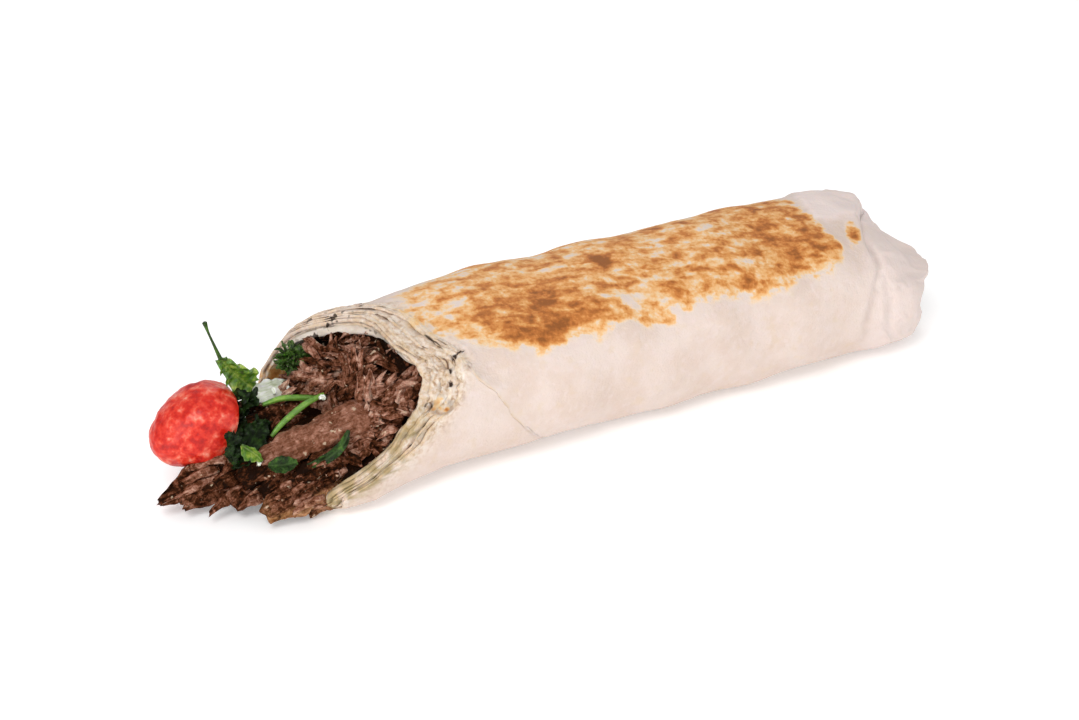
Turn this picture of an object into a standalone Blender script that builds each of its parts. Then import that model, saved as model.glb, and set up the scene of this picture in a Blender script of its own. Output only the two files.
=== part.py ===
"""A rolled flatbread sandwich of shaved meat with tomato, herbs and onion at its open end.

The roll lies along X: its open mouth faces -X, its tucked end faces +X.
Its flat bottom is at Z = 0 and the origin is the middle of the roll's bottom.
"""

from collections import namedtuple

import bmesh
import bpy
import numpy as np
from mathutils import Matrix, Vector, noise

MM = 0.001

# Bread roll
ROLL_WIDTH = 60.0 * MM
ROLL_HEIGHT = 50.0 * MM
SECTION_POWER = 2.7
TOP_TILT = np.radians(13.0)
BOTTOM_FLAT = 0.7 * MM
WALL = 4.6 * MM
LAYER = 1.1 * MM
ROUND_SIDES = 52
# How far out the inner lip reaches, every 30 degrees from the far side over the top
LIP_REACH = np.array([119, 113, 101, 94.5, 90, 97, 102.5, 123, 127, 123, 122.5, 122]) * MM
# How far the toasted corner at the far side sticks out past that
CORNER_REACH = 4.5 * MM
# How far the lip's lower near corner slumps outward
LIP_SLUMP = 7.0 * MM
# How far the top sinks at the mouth, and in two steps towards the closed end
MOUTH_DROOP = 3.4 * MM
END_SAGS = (1.4 * MM, 1.6 * MM)
# How much the lip thins inside and outside at its very front
LIP_BEVEL = 0.8 * MM
LIP_ROUND = 0.3 * MM

# Closed end
TUCK_START = 80.0 * MM
TUCK_TIP = np.array([109.5, -8.0, 15.0]) * MM
# The top flap: the angle it lies at, how far it reaches and how deep its end steps down
FLAP_AT = 66.0
TOP_FLAP = 19.0 * MM
FLAP_STEP = 0.17
# Bulges of the folded end: how far out, at what height, and how wide
END_BULGES_MM = ((18.0, 26.5, 5.2), (22.0, 7.0, 4.5))
LOWER_REACH = 17.0 * MM
CAVITY_END = 84.0 * MM
CAVITY_CAP = 18.0 * MM

# Fit between touching pieces
GAP = 0.35 * MM
CORE_PLAY = 0.12 * MM
TABLE_CLEARANCE = 0.35 * MM
# The lip runs at a slant, so the gap is this many times wider along the roll to stay wide across it
LIP_CLEARANCE = 2.5

# The space under the raised lower lip, which stays empty
LIP_ROOM_LOW = np.array([-121.0, -16.0, -1.0]) * MM
LIP_ROOM_SIZE = np.array([40.0, 46.0, 3.8]) * MM

# Tomato wedge: centre, half sizes, lean, and the way and depth of its cut
TOMATO_AT = np.array([-151.6, 8.8, 21.7]) * MM
TOMATO_HALF = np.array([15.0, 11.4, 11.8]) * MM
TOMATO_LEAN = np.radians(-16.0)
TOMATO_NARROWING = 0.24
TOMATO_CUT_WAY = Vector((0.80, -0.15, -0.58)).normalized()
TOMATO_CUT_AT = 0.54
TOMATO_CUT_FLATNESS = 0.85
TOMATO_SQUARENESS = 0.9
TOMATO_UNEVEN = 0.04

# Mouth of the roll, for the shaved meat that fills it
MOUTH_MIDDLE = np.array([-107.0, -1.0, 27.0]) * MM
# How much further in the filling starts at the far wall, and the space between its last two rings
FAR_STEP = 8.0 * MM
RING_STEP = 1.5 * MM
MOUND_AT = np.array([-121.0, -2.5, 8.5]) * MM
MOUND_HALF = np.array([31.0, 20.0, 14.5]) * MM
MOUND_UNEVEN = 0.10
MOUND_LUMPS = 2.3
SLICE_SEED = 7
SLICE_SIDES = 8
SLICE_RINGS = 6
SLICE_SQUARENESS = 0.7

# Rows of slices in the mouth, in millimetres: the face they end on leans back at the top and far side
MOUTH_HEIGHTS = (15.5, 22.0, 28.5, 34.5, 40.0)
MOUTH_SIDES = (-15.0, -5.5, 4.5, 13.5)
MOUTH_FRONT = -111.0
MOUTH_LEAN_BACK = 0.35
MOUTH_LEAN_NEAR = 0.42
MOUTH_ROOTED = 12.0
MOUTH_SHIFT = 1.5
MOUTH_REACH = (1.0, 7.0)
MOUTH_SWAY = 5.0
MOUTH_WIDTHS = (8.0, 12.0)
MOUTH_THICKS = (2.4, 3.6)
MOUTH_CURL = 0.2

# Tuft of curly parsley
PARSLEY_AT = np.array([-116.5, 14.5, 33.4]) * MM
PARSLEY_HALF = np.array([6.6, 4.2, 4.0]) * MM
PARSLEY_CRINKLE = 0.30
PARSLEY_LUMPS = 2.6

# Leaves and stalks
LEAF_RINGS = 9
LEAF_COLUMNS = 7
LEAF_FOLD = 0.22
STALK_RINGS = 10


def smooth_step(t):
    """0 below 0, 1 above 1, with a soft S between them."""
    t = np.clip(t, 0.0, 1.0)
    return t * t * (3.0 - 2.0 * t)


def bell(value, middle, width):
    """1 at the middle, falling off like a Gaussian."""
    return np.exp(-(((value - middle) / width) ** 2))


def turn_bell(theta, middle_deg, width_deg):
    """A bell on the angle round the roll, which wraps at a full turn."""
    away = (theta - np.radians(middle_deg) + np.pi) % (2.0 * np.pi) - np.pi
    return np.exp(-((away / np.radians(width_deg)) ** 2))


def linear_colour(hex_code):
    """An sRGB hex value as linear RGBA."""
    channels = [int(hex_code[i : i + 2], 16) / 255.0 for i in (0, 2, 4)]
    linear = [c / 12.92 if c <= 0.04045 else ((c + 0.055) / 1.055) ** 2.4 for c in channels]
    return (*linear, 1.0)


def make_material(name, hex_code, roughness):
    material = bpy.data.materials.new(name)
    material.use_nodes = True
    shader = material.node_tree.nodes["Principled BSDF"]
    shader.inputs["Base Color"].default_value = linear_colour(hex_code)
    shader.inputs["Roughness"].default_value = roughness
    shader.inputs["Metallic"].default_value = 0.0
    material.diffuse_color = linear_colour(hex_code)
    return material


def finish_object(name, mesh_builder, collection, material=None):
    """A named object from a bmesh, with its faces outwards and shaded smooth."""
    bmesh.ops.recalc_face_normals(mesh_builder, faces=mesh_builder.faces)
    mesh = bpy.data.meshes.new(name)
    mesh_builder.to_mesh(mesh)
    mesh_builder.free()
    mesh.shade_smooth()
    mesh.set_sharp_from_angle(angle=np.radians(50.0))
    if material is not None:
        mesh.materials.append(material)
    made = bpy.data.objects.new(name, mesh)
    collection.objects.link(made)
    return made


def loft(rings):
    """A closed bmesh over rings of equal length. A ring of one point is a pole."""
    builder = bmesh.new()
    rows = [[builder.verts.new(point) for point in ring] for ring in rings]
    for first, second in zip(rows, rows[1:]):
        sides = max(len(first), len(second))
        for j in range(sides):
            k = (j + 1) % sides
            if len(first) == 1:
                builder.faces.new((first[0], second[k], second[j]))
            elif len(second) == 1:
                builder.faces.new((first[j], first[k], second[0]))
            else:
                builder.faces.new((first[j], first[k], second[k], second[j]))
    for row, end in ((rows[0], 0), (rows[-1], 1)):
        if len(row) > 1:
            builder.faces.new(row if end else row[::-1])
    bmesh.ops.triangulate(builder, faces=builder.faces, quad_method="FIXED")
    return builder


# The roll: theta 0 is the far side (+Y), 90 the top, 180 the near side, 270 the bottom.


def between(a, b, c, d, t):
    """The smooth curve through four equally spaced values, from the second to the third."""
    square = 2.0 * a - 5.0 * b + 4.0 * c - d
    cube = 3.0 * b - a - 3.0 * c + d
    return 0.5 * (2.0 * b + (c - a) * t + square * t**2 + cube * t**3)


def rim_line(theta):
    """X of the inner lip: furthest out at the bottom and far side, furthest back near."""
    count = len(LIP_REACH)
    place = theta / (2.0 * np.pi) * count
    whole = np.floor(place).astype(int)
    four = [-LIP_REACH[(whole + step) % count] for step in (-1, 0, 1, 2)]
    corner = CORNER_REACH * turn_bell(theta, -3.0, 11.0)
    waves = 0.9 * np.sin(5.0 * theta + 1.0) + 0.5 * np.sin(9.0 * theta + 2.6)
    return between(*four, place - whole) - corner + waves * MM


def middle_edge(theta):
    """X where the middle bread layer ends, a little behind the lip."""
    waves = 0.35 * np.sin(7.0 * theta + 0.5)
    return rim_line(theta) + (2.0 + 3.4 * turn_bell(theta, 165.0, 60.0) + waves) * MM


def sheet_edge(theta):
    """X where the outermost sheet ends: a slanting seam that runs back on the near side."""
    top_lag = 5.0 * turn_bell(theta, 95.0, 50.0)
    seam = 52.0 * turn_bell(theta, 226.0, 36.0)
    waves = 0.5 * np.sin(6.0 * theta + 4.0)
    return rim_line(theta) + (4.4 + top_lag + seam + waves) * MM


def tuck_line(theta):
    """X where the roll starts to close: later under the top flap and at the lower near edge."""
    return (
        TUCK_START
        + TOP_FLAP * turn_bell(theta, FLAP_AT, 27.0)
        + LOWER_REACH * turn_bell(theta, 238.0, 40.0)
    )


def roll_section(x, theta, inset):
    """Rings of points at x: a squarish oval whose top face leans to the near side."""
    c, s = np.cos(theta), np.sin(theta)
    along = np.clip((x / MM + 110.0) / 220.0, 0.0, 1.0)
    waist = 0.8 * MM * bell(x, 15.0 * MM, 35.0 * MM)
    crown = (0.6 * bell(x, 20.0 * MM, 30.0 * MM) - 0.6 * bell(x, -35.0 * MM, 30.0 * MM)) * MM
    half_wide = ROLL_WIDTH / 2.0 * (1.0 - 0.02 * along) - waist - inset
    half_high = (ROLL_HEIGHT + BOTTOM_FLAT) / 2.0 + crown - inset
    y = half_wide * np.sign(c) * np.abs(c) ** (2.0 / SECTION_POWER)
    z = half_high * np.sign(s) * np.abs(s) ** (2.0 / SECTION_POWER)
    tilt = TOP_TILT * smooth_step((z / (ROLL_HEIGHT / 2.0) + 0.3) / 1.3)
    turned_y = y * np.cos(tilt) - z * np.sin(tilt)
    turned_z = y * np.sin(tilt) + z * np.cos(tilt) + (ROLL_HEIGHT - BOTTOM_FLAT) / 2.0
    droop = MOUTH_DROOP * smooth_step((-x / MM - 45.0) / 50.0)
    sag = END_SAGS[0] * smooth_step((x / MM - 62.0) / 20.0)
    sag += END_SAGS[1] * smooth_step((x / MM - 80.0) / 18.0)
    turned_z -= droop * smooth_step(turned_z / ROLL_HEIGHT)
    turned_z -= sag * smooth_step(turned_z / (ROLL_HEIGHT / 2.0))
    slump = LIP_SLUMP * smooth_step((-x / MM - 90.0) / 24.0)
    turned_y -= slump * smooth_step(-2.0 * c) * (1.0 - smooth_step(turned_z / (22.0 * MM)))
    x = np.broadcast_to(x, theta.shape)
    return np.stack([x, turned_y, turned_z], axis=-1)


def roll_relief(x, theta):
    """Low waves that the filling pushes into the bread, as extra radius."""
    long_wave = 0.35 * np.sin(x / (7.5 * MM) + 2.0 * theta + 1.0)
    short_wave = 0.25 * np.sin(x / (4.9 * MM) - 3.0 * theta + 0.4)
    ridges = 0.20 * np.sin(5.0 * theta + x / (20.0 * MM))
    return (long_wave + short_wave + ridges) * MM


def tuck_ring(phi, theta, grow):
    """One ring of the closed end. Phi runs from 0 at the tuck line to 90 degrees at its tip."""
    s = np.sin(theta)
    power = 0.60 + 0.42 * smooth_step(s) - 0.42 * turn_bell(theta, 232.0, 45.0)
    flap_step = FLAP_STEP * turn_bell(theta, FLAP_AT, 38.0) * smooth_step(phi / 0.05) * np.cos(phi)
    crease = 0.035 * turn_bell(theta, 178.0, 30.0) * bell(phi, 0.18, 0.09)
    keep = np.cos(phi) ** power - flap_step - crease
    keep += 0.03 * np.sin(6.0 * theta + 2.0) * np.sin(2.0 * phi)
    start = tuck_line(theta)
    ring = roll_section(start, theta, -grow - roll_relief(start, theta) * np.cos(phi))
    ring[:, 0] = start + (TUCK_TIP[0] + grow - start) * np.sin(phi)
    for axis in (1, 2):
        ring[:, axis] = TUCK_TIP[axis] * (1.0 - keep) + ring[:, axis] * keep
    z = ring[:, 2] / MM
    bulges = sum(much * bell(z, height, width) for much, height, width in END_BULGES_MM)
    ring[:, 0] += (1.0 - keep) * smooth_step(1.5 * (1.0 - keep)) * bulges * MM
    return ring


def cavity_rings(theta, inset, shorter):
    """Rings of the cavity, from its blind end to just inside the lip."""
    rings = []
    for phi in np.radians([62.0, 36.0, 14.0]):
        keep = np.cos(phi) ** 0.6
        ring = roll_section(np.full_like(theta, CAVITY_END), theta, inset)
        ring[:, 0] = CAVITY_END + (CAVITY_CAP - shorter) * np.sin(phi)
        middle = ring.mean(axis=0)
        ring[:, 1:] = middle[1:] + (ring[:, 1:] - middle[1:]) * keep
        rings.append(ring)
    tip = rings[0].mean(axis=0)
    tip[0] = CAVITY_END + CAVITY_CAP - shorter
    rings.insert(0, tip[None, :])
    for share in (1.0, 0.85, 0.70, 0.55, 0.40, 0.27, 0.16, 0.08, 0.035, 0.012):
        x = rim_line(theta) * (1.0 - share) + CAVITY_END * share
        rings.append(roll_section(x, theta, inset))
    return rings


def bread_rings(grow=0.0):
    """The whole shell from the cavity's tip, over the lip and back to the closed end's tip."""
    theta = np.linspace(0.0, 2.0 * np.pi, ROUND_SIDES, endpoint=False)
    rim = rim_line(theta)
    middle = middle_edge(theta)
    sheet = sheet_edge(theta)
    tuck = tuck_line(theta)
    rings = cavity_rings(theta, WALL + grow, grow)
    front = rim - LIP_CLEARANCE * grow
    rings.append(roll_section(front, theta, WALL - LIP_BEVEL + grow))
    rings.append(roll_section(front, theta, 2.0 * LAYER + LIP_ROUND - grow))
    outer = [
        (rim + 0.8 * MM, 2.0 * LAYER),
        (middle - 0.5 * MM, 2.0 * LAYER),
        (middle, LAYER),
        (middle * 0.5 + sheet * 0.5, LAYER),
        (sheet - 0.6 * MM, LAYER),
        (sheet, 0.0),
    ]
    for share in (0.06, 0.16, 0.27, 0.38, 0.49, 0.60, 0.71, 0.81, 0.91, 1.0):
        outer.append((sheet * (1.0 - share) + tuck * share, 0.0))
    for x, inset in outer:
        raised = roll_relief(x, theta) * smooth_step((x - rim) / (12.0 * MM))
        rings.append(roll_section(x - grow, theta, inset - grow - raised))
    for phi in np.radians([2.5, 7.0, 14.0, 24.0, 36.0, 49.0, 62.0, 76.0]):
        rings.append(tuck_ring(phi, theta, grow))
    rings.append((TUCK_TIP + [4.0 * MM + grow, 0.0, 0.0])[None, :])
    for ring in rings:
        ring[:, 2] = np.maximum(ring[:, 2], -grow)
    return rings


# The filling


def make_core(collection):
    """The packed filling inside the roll, down to its blind end, with a domed face at the mouth."""
    theta = np.linspace(0.0, 2.0 * np.pi, ROUND_SIDES, endpoint=False)
    inset = WALL + GAP + CORE_PLAY
    rings = cavity_rings(theta, inset, GAP + CORE_PLAY)
    face = rim_line(theta) + FAR_STEP * turn_bell(theta, 35.0, 50.0)
    for ring, behind in ((rings[-2], RING_STEP), (rings[-1], 0.0)):
        ring[:] = roll_section(np.maximum(ring[:, 0], face + behind), theta, inset)
    lip = rings[-1]
    for share in (0.92, 0.70, 0.40):
        ring = MOUTH_MIDDLE + (lip - MOUTH_MIDDLE) * share
        ring[:, 0] += 2.5 * MM * np.sin(3.0 * theta) * share
        rings.append(ring)
    rings.append(MOUTH_MIDDLE[None, :].copy())
    return finish_object("core", loft(rings), collection)


def make_mound(collection):
    """The heap in front of the mouth: an uneven rounded lump, flat where it meets the table."""
    builder = bmesh.new()
    bmesh.ops.create_uvsphere(builder, u_segments=24, v_segments=14, radius=1.0)
    for vert in builder.verts:
        wobble = 1.0 + MOUND_UNEVEN * noise.noise(vert.co * MOUND_LUMPS + Vector(MOUND_AT) / MM)
        place = Vector([MOUND_AT[i] + vert.co[i] * MOUND_HALF[i] * wobble for i in range(3)])
        place.z = max(place.z, TABLE_CLEARANCE)
        vert.co = place
    bmesh.ops.triangulate(builder, faces=builder.faces)
    return finish_object("mound", builder, collection)


# A wavy shaved slice from start to end. Face is the way its broad side looks, bow its rise in the
# middle, curl how far its edges rise, phase sets its waves, and tip is how much width its end keeps.
Slice = namedtuple("Slice", "start end width thick face bow curl phase tip")


def slice_rings(piece):
    """Rings of one shaved slice."""
    start, end = np.array(piece.start) * MM, np.array(piece.end) * MM
    width, thick = piece.width * MM, piece.thick * MM
    along = (end - start) / np.linalg.norm(end - start)
    face = np.array(piece.face, float)
    face -= along * np.dot(face, along)
    face /= np.linalg.norm(face)
    across = np.cross(face, along)
    angles = np.linspace(0.0, 2.0 * np.pi, SLICE_SIDES, endpoint=False)
    u = np.sign(np.cos(angles)) * np.abs(np.cos(angles)) ** SLICE_SQUARENESS
    v = np.sign(np.sin(angles)) * np.abs(np.sin(angles)) ** SLICE_SQUARENESS
    rings = []
    for t in np.linspace(0.0, 1.0, SLICE_RINGS):
        narrow = 1.0 - (1.0 - piece.tip) * smooth_step((t - 0.55) / 0.45)
        half = width / 2.0 * narrow * (1.0 + 0.10 * np.sin(9.0 * t + piece.phase))
        thin = thick / 2.0 * (1.0 - 0.35 * smooth_step((t - 0.6) / 0.4))
        wave = 0.10 * width * np.sin(5.5 * t + piece.phase)
        lift = piece.bow * MM * 4.0 * t * (1.0 - t) + wave
        sway = 0.08 * width * np.sin(4.0 * t + 2.0 * piece.phase)
        ring = start + (end - start) * t + face * lift + np.outer(half * u + sway, across)
        ring += np.outer(thin * v + piece.curl * half * (u**2 - 0.5), face)
        ring[:, 2] = np.maximum(ring[:, 2], TABLE_CLEARANCE)
        rings.append(ring)
    return rings


# Slices that hang out of the mouth or lie on the mound, in millimetres
SHOWN_SLICES = {
    "slice_far_tip": Slice(
        start=(-124, -3, 15), end=(-168.5, -1.5, 6.0), width=21, thick=5.0,
        face=(-0.2, -0.75, 0.65), bow=1.0, curl=0.1, phase=0.6, tip=0.35,
    ),
    "slice_thin_tip": Slice(
        start=(-138, -7, 10), end=(-157, -12.5, 3.2), width=4.0, thick=2.2,
        face=(-0.3, -0.7, 0.7), bow=0.5, curl=0.0, phase=1.2, tip=0.5,
    ),
    "slice_short_tip": Slice(
        start=(-130, -12, 13), end=(-151, -14.5, 3.6), width=9.5, thick=3.6,
        face=(-0.3, -0.7, 0.7), bow=0.6, curl=0.1, phase=2.0, tip=0.6,
    ),
    "slice_near_tip": Slice(
        start=(-112, -16.0, 15.5), end=(-144, -23.5, 3.2), width=14, thick=4.6,
        face=(-0.2, -0.8, 0.6), bow=1.0, curl=0.12, phase=0.2, tip=0.45,
    ),
    "slice_near_low": Slice(
        start=(-110, -17, 10), end=(-135, -21.5, 3.0), width=9, thick=3.8,
        face=(-0.2, -0.6, 0.8), bow=0.4, curl=0.1, phase=2.6, tip=0.6,
    ),
    "slice_top": Slice(
        start=(-108, -13, 27.5), end=(-140.5, -9.5, 18.5), width=13, thick=5.2,
        face=(-0.25, -0.6, 0.8), bow=1.6, curl=-0.18, phase=0.4, tip=0.4,
    ),
    "slice_right": Slice(
        start=(-90, -18, 29), end=(-103, -19.5, 34), width=9, thick=3.2,
        face=(-0.5, -0.8, 0.3), bow=0.8, curl=0.12, phase=1.6, tip=0.6,
    ),
    "slice_side_a": Slice(
        start=(-95, -18, 26), end=(-119, -20.0, 16.5), width=8, thick=3.0,
        face=(-0.3, -0.8, 0.5), bow=0.8, curl=0.12, phase=0.9, tip=0.5,
    ),
    "slice_side_b": Slice(
        start=(-100, -19, 18), end=(-127, -21.0, 9.0), width=9, thick=3.0,
        face=(-0.3, -0.8, 0.5), bow=0.8, curl=0.1, phase=2.2, tip=0.5,
    ),
    "slice_side_c": Slice(
        start=(-104, -16, 21), end=(-134, -19.5, 11.5), width=8, thick=3.0,
        face=(-0.3, -0.7, 0.7), bow=0.8, curl=0.14, phase=3.4, tip=0.5,
    ),
    "slice_mid": Slice(
        start=(-116, -8, 20), end=(-147, -12, 12.5), width=11, thick=3.4,
        face=(-0.3, -0.7, 0.7), bow=0.8, curl=0.1, phase=4.4, tip=0.5,
    ),
    "slice_far_a": Slice(
        start=(-106, 15, 20), end=(-135, 18.5, 9), width=11, thick=3.4,
        face=(-0.3, 0.5, 0.8), bow=1.0, curl=0.12, phase=1.0, tip=0.5,
    ),
    "slice_far_b": Slice(
        start=(-108, 17, 10), end=(-141, 16.0, 4.5), width=10, thick=3.4,
        face=(-0.3, 0.6, 0.7), bow=1.0, curl=0.1, phase=3.0, tip=0.5,
    ),
    "slice_front_a": Slice(
        start=(-126, 5, 13), end=(-157, 7.5, 5.0), width=12, thick=3.6,
        face=(-0.4, 0.1, 0.9), bow=1.0, curl=0.12, phase=2.0, tip=0.5,
    ),
    "slice_front_b": Slice(
        start=(-122, 10, 17), end=(-146, 14.5, 8.0), width=9, thick=3.2,
        face=(-0.4, 0.3, 0.8), bow=1.0, curl=-0.1, phase=5.0, tip=0.5,
    ),
    "slice_mid_b": Slice(
        start=(-122, -3, 18), end=(-153, -7.0, 10.5), width=9, thick=3.0,
        face=(-0.3, -0.6, 0.75), bow=0.8, curl=0.12, phase=1.7, tip=0.5,
    ),
    "slice_mid_c": Slice(
        start=(-124, -12, 13), end=(-147, -17.5, 7.0), width=7, thick=2.8,
        face=(-0.3, -0.7, 0.7), bow=0.8, curl=0.12, phase=3.9, tip=0.5,
    ),
    "slice_gap": Slice(
        start=(-116, 6, 19), end=(-139, 3.5, 18.5), width=13, thick=4.0,
        face=(-0.35, -0.45, 0.8), bow=1.0, curl=0.1, phase=2.8, tip=0.6,
    ),
    "slice_low": Slice(
        start=(-113, -18.5, 8), end=(-131, -22.5, 2.8), width=8, thick=3.4,
        face=(-0.2, -0.7, 0.7), bow=0.4, curl=0.1, phase=5.1, tip=0.5,
    ),
}


def make_mouth_slices(collection):
    """Slices that fill the mouth: rows across it, each turned and tipped a little by chance."""
    chance = np.random.default_rng(SLICE_SEED)
    count = 0
    for row, height in enumerate(MOUTH_HEIGHTS):
        for side in MOUTH_SIDES:
            stagger = 2.0 if row % 2 else -2.0
            y = side + chance.uniform(-MOUTH_SHIFT, MOUTH_SHIFT) + stagger
            z = height + chance.uniform(-MOUTH_SHIFT, MOUTH_SHIFT)
            front = MOUTH_FRONT + MOUTH_LEAN_BACK * (z - 25.0) - MOUTH_LEAN_NEAR * y
            reach = chance.uniform(*MOUTH_REACH)
            start = (front + MOUTH_ROOTED, y * 0.9, z - 1.0)
            sway = chance.uniform(-MOUTH_SWAY, MOUTH_SWAY)
            end = (front - reach, y + sway, z + chance.uniform(-3.0, 2.0))
            face = (-0.4, chance.uniform(-0.9, 0.6), chance.uniform(0.2, 1.0))
            width = chance.uniform(*MOUTH_WIDTHS)
            thick = chance.uniform(*MOUTH_THICKS)
            phase = chance.uniform(0.0, 6.0)
            curl = chance.uniform(-MOUTH_CURL, MOUTH_CURL)
            beside_the_lip = height == MOUTH_HEIGHTS[-1] and side in (MOUTH_SIDES[0], MOUTH_SIDES[-1])
            behind_the_parsley = height == MOUTH_HEIGHTS[-2] and side == MOUTH_SIDES[-1]
            if beside_the_lip or behind_the_parsley:
                continue
            piece = Slice(start, end, width, thick, face, bow=0.8, curl=curl, phase=phase, tip=0.6)
            finish_object(f"mouth_slice_{count}", loft(slice_rings(piece)), collection)
            count += 1


# Toppings


def make_tomato(name, collection, material):
    """A tomato wedge: a rounded skin side with a flatter cut side toward the filling."""
    builder = bmesh.new()
    bmesh.ops.create_uvsphere(builder, u_segments=24, v_segments=14, radius=1.0)
    turn = Matrix.Rotation(TOMATO_LEAN, 3, "Y")
    for vert in builder.verts:
        unit = vert.co.copy()
        past = unit.dot(TOMATO_CUT_WAY) - TOMATO_CUT_AT
        if past > 0.0:
            unit -= TOMATO_CUT_WAY * past * TOMATO_CUT_FLATNESS
        bumps = 1.0 + TOMATO_UNEVEN * noise.noise(unit * 2.5)
        narrow = 1.0 + TOMATO_NARROWING * unit.x
        squarer = Vector([abs(c) ** TOMATO_SQUARENESS * (1.0 if c > 0 else -1.0) for c in unit])
        squarer.y *= narrow
        squarer.z *= narrow
        sized = Vector([squarer[i] * TOMATO_HALF[i] * bumps for i in range(3)])
        vert.co = turn @ sized + Vector(TOMATO_AT)
    bmesh.ops.triangulate(builder, faces=builder.faces)
    return finish_object(name, builder, collection, material)


def blend_points(points, count):
    """More points on a smooth curve through a few."""
    points = np.array(points, float)
    steps = np.linspace(0.0, len(points) - 1.0, count)
    padded = np.vstack([2 * points[0] - points[1], points, 2 * points[-1] - points[-2]])
    made = []
    for step in steps:
        i = min(int(step), len(points) - 2)
        t = step - i
        a, b, c, d = padded[i : i + 4]
        made.append(between(a, b, c, d, t))
    return np.array(made)


def leaf_rings(leaf):
    """Rings of a thin wavy leaf along its spine, with both faces split alike."""
    spine = blend_points(leaf.spine, LEAF_RINGS) * MM
    widths = blend_points(np.array(leaf.widths, float)[:, None], LEAF_RINGS)[:, 0] * MM
    facings = np.linspace(leaf.facing_foot, leaf.facing_tip, LEAF_RINGS)
    tangents = np.gradient(spine, axis=0)
    across_steps = np.linspace(-1.0, 1.0, LEAF_COLUMNS)
    half_thick = leaf.thick * MM / 2.0 * np.where(np.abs(across_steps) > 0.99, 0.5, 1.0)
    rings = []
    for i in range(LEAF_RINGS):
        along = tangents[i] / np.linalg.norm(tangents[i])
        face = facings[i] - along * np.dot(facings[i], along)
        face /= np.linalg.norm(face)
        side = np.cross(face, along)
        half = widths[i] / 2.0
        wave = np.sin(2.4 * i + leaf.phase + 2.0 * across_steps) * np.abs(across_steps)
        lift = leaf.ruffle * MM * wave + LEAF_FOLD * half * across_steps**2
        middle = spine[i] + np.outer(half * across_steps, side) + np.outer(lift, face)
        upper = middle + np.outer(half_thick, face)
        lower = middle - np.outer(half_thick, face)
        rings.append(np.concatenate([upper, lower[::-1]]))
    return rings


def stalk_rings(stalk, sides=8):
    """Rings of a round stalk whose radius changes along it."""
    spine = blend_points(stalk.points, STALK_RINGS) * MM
    radii = blend_points(np.array(stalk.radii, float)[:, None], STALK_RINGS)[:, 0] * MM
    tangents = np.gradient(spine, axis=0)
    angles = np.linspace(0.0, 2.0 * np.pi, sides, endpoint=False)
    rings = []
    for middle, radius, tangent in zip(spine, radii, tangents):
        side = np.cross(tangent, [0.0, 1.0, 0.0])
        side /= np.linalg.norm(side)
        up = np.cross(side, tangent / np.linalg.norm(tangent))
        rings.append(middle + radius * (np.outer(np.cos(angles), side) + np.outer(np.sin(angles), up)))
    return rings


# Thin leaves. Facing runs from the leaf's foot to its tip.
Leaf = namedtuple("Leaf", "spine widths facing_foot facing_tip thick ruffle phase material")

LEAVES = {
    "salad_leaf": Leaf(
        spine=(
            (-143.6, 8.0, 43.5),
            (-141.0, 8.5, 40.0),
            (-138.0, 9.0, 37.0),
            (-134.5, 9.5, 33.0),
            (-131.5, 9.5, 29.8),
        ),
        widths=(2.5, 8.0, 9.5, 8.5, 4.0),
        facing_foot=(-0.5, -0.8, 0.3),
        facing_tip=(-0.4, -0.7, 0.6),
        thick=0.8, ruffle=0.9, phase=0.5, material="herb_leaf",
    ),
    "herb_leaf_small": Leaf(
        spine=(
            (-145.4, -9.7, 23.5),
            (-143.7, -10.7, 22.0),
            (-141.7, -12.0, 20.2),
            (-140.3, -13.0, 18.2),
        ),
        widths=(1.2, 5.0, 4.6, 1.0),
        facing_foot=(-0.4, -0.7, 0.6),
        facing_tip=(-0.4, -0.7, 0.6),
        thick=0.8, ruffle=0.3, phase=1.0, material="herb_leaf",
    ),
    "herb_leaf_dark": Leaf(
        spine=(
            (-140.0, -16.0, 18.0),
            (-137.6, -17.0, 17.8),
            (-134.8, -17.8, 17.8),
            (-131.6, -18.4, 18.2),
        ),
        widths=(1.4, 5.6, 5.6, 1.6),
        facing_foot=(-0.3, -0.7, 0.7),
        facing_tip=(-0.3, -0.7, 0.7),
        thick=0.8, ruffle=0.3, phase=2.0, material="dark_herb_leaf",
    ),
    "herb_leaf_curl": Leaf(
        spine=(
            (-128.5, -18.6, 15.9),
            (-124.5, -19.6, 16.9),
            (-120.5, -20.6, 19.2),
            (-117.4, -21.4, 22.8),
            (-116.0, -21.2, 26.2),
        ),
        widths=(1.4, 4.0, 4.4, 3.6, 1.2),
        facing_foot=(-0.3, -0.8, 0.5),
        facing_tip=(-0.7, -0.7, 0.1),
        thick=0.8, ruffle=0.4, phase=0.0, material="dark_herb_leaf",
    ),
    "herb_leaf_shade": Leaf(
        spine=(
            (-147.0, -8.6, 15.4),
            (-143.2, -7.2, 17.8),
            (-139.2, -4.2, 20.6),
            (-134.4, -0.8, 23.4),
        ),
        widths=(2.0, 8.0, 9.0, 4.5),
        facing_foot=(-0.3, -0.4, 0.9),
        facing_tip=(-0.2, -0.3, 0.9),
        thick=0.9, ruffle=0.6, phase=1.4, material="dark_herb_leaf",
    ),
    "onion_slice": Leaf(
        spine=(
            (-134.0, 10.5, 25.8),
            (-129.5, 11.5, 25.4),
            (-124.5, 12.5, 25.0),
            (-119.5, 13.5, 24.6),
        ),
        widths=(2.5, 5.6, 6.0, 3.4),
        facing_foot=(-0.3, -0.7, 0.7),
        facing_tip=(-0.3, -0.6, 0.8),
        thick=1.8, ruffle=0.3, phase=0.0, material="onion",
    ),
}

# Round stalks
Stalk = namedtuple("Stalk", "points radii")

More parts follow.
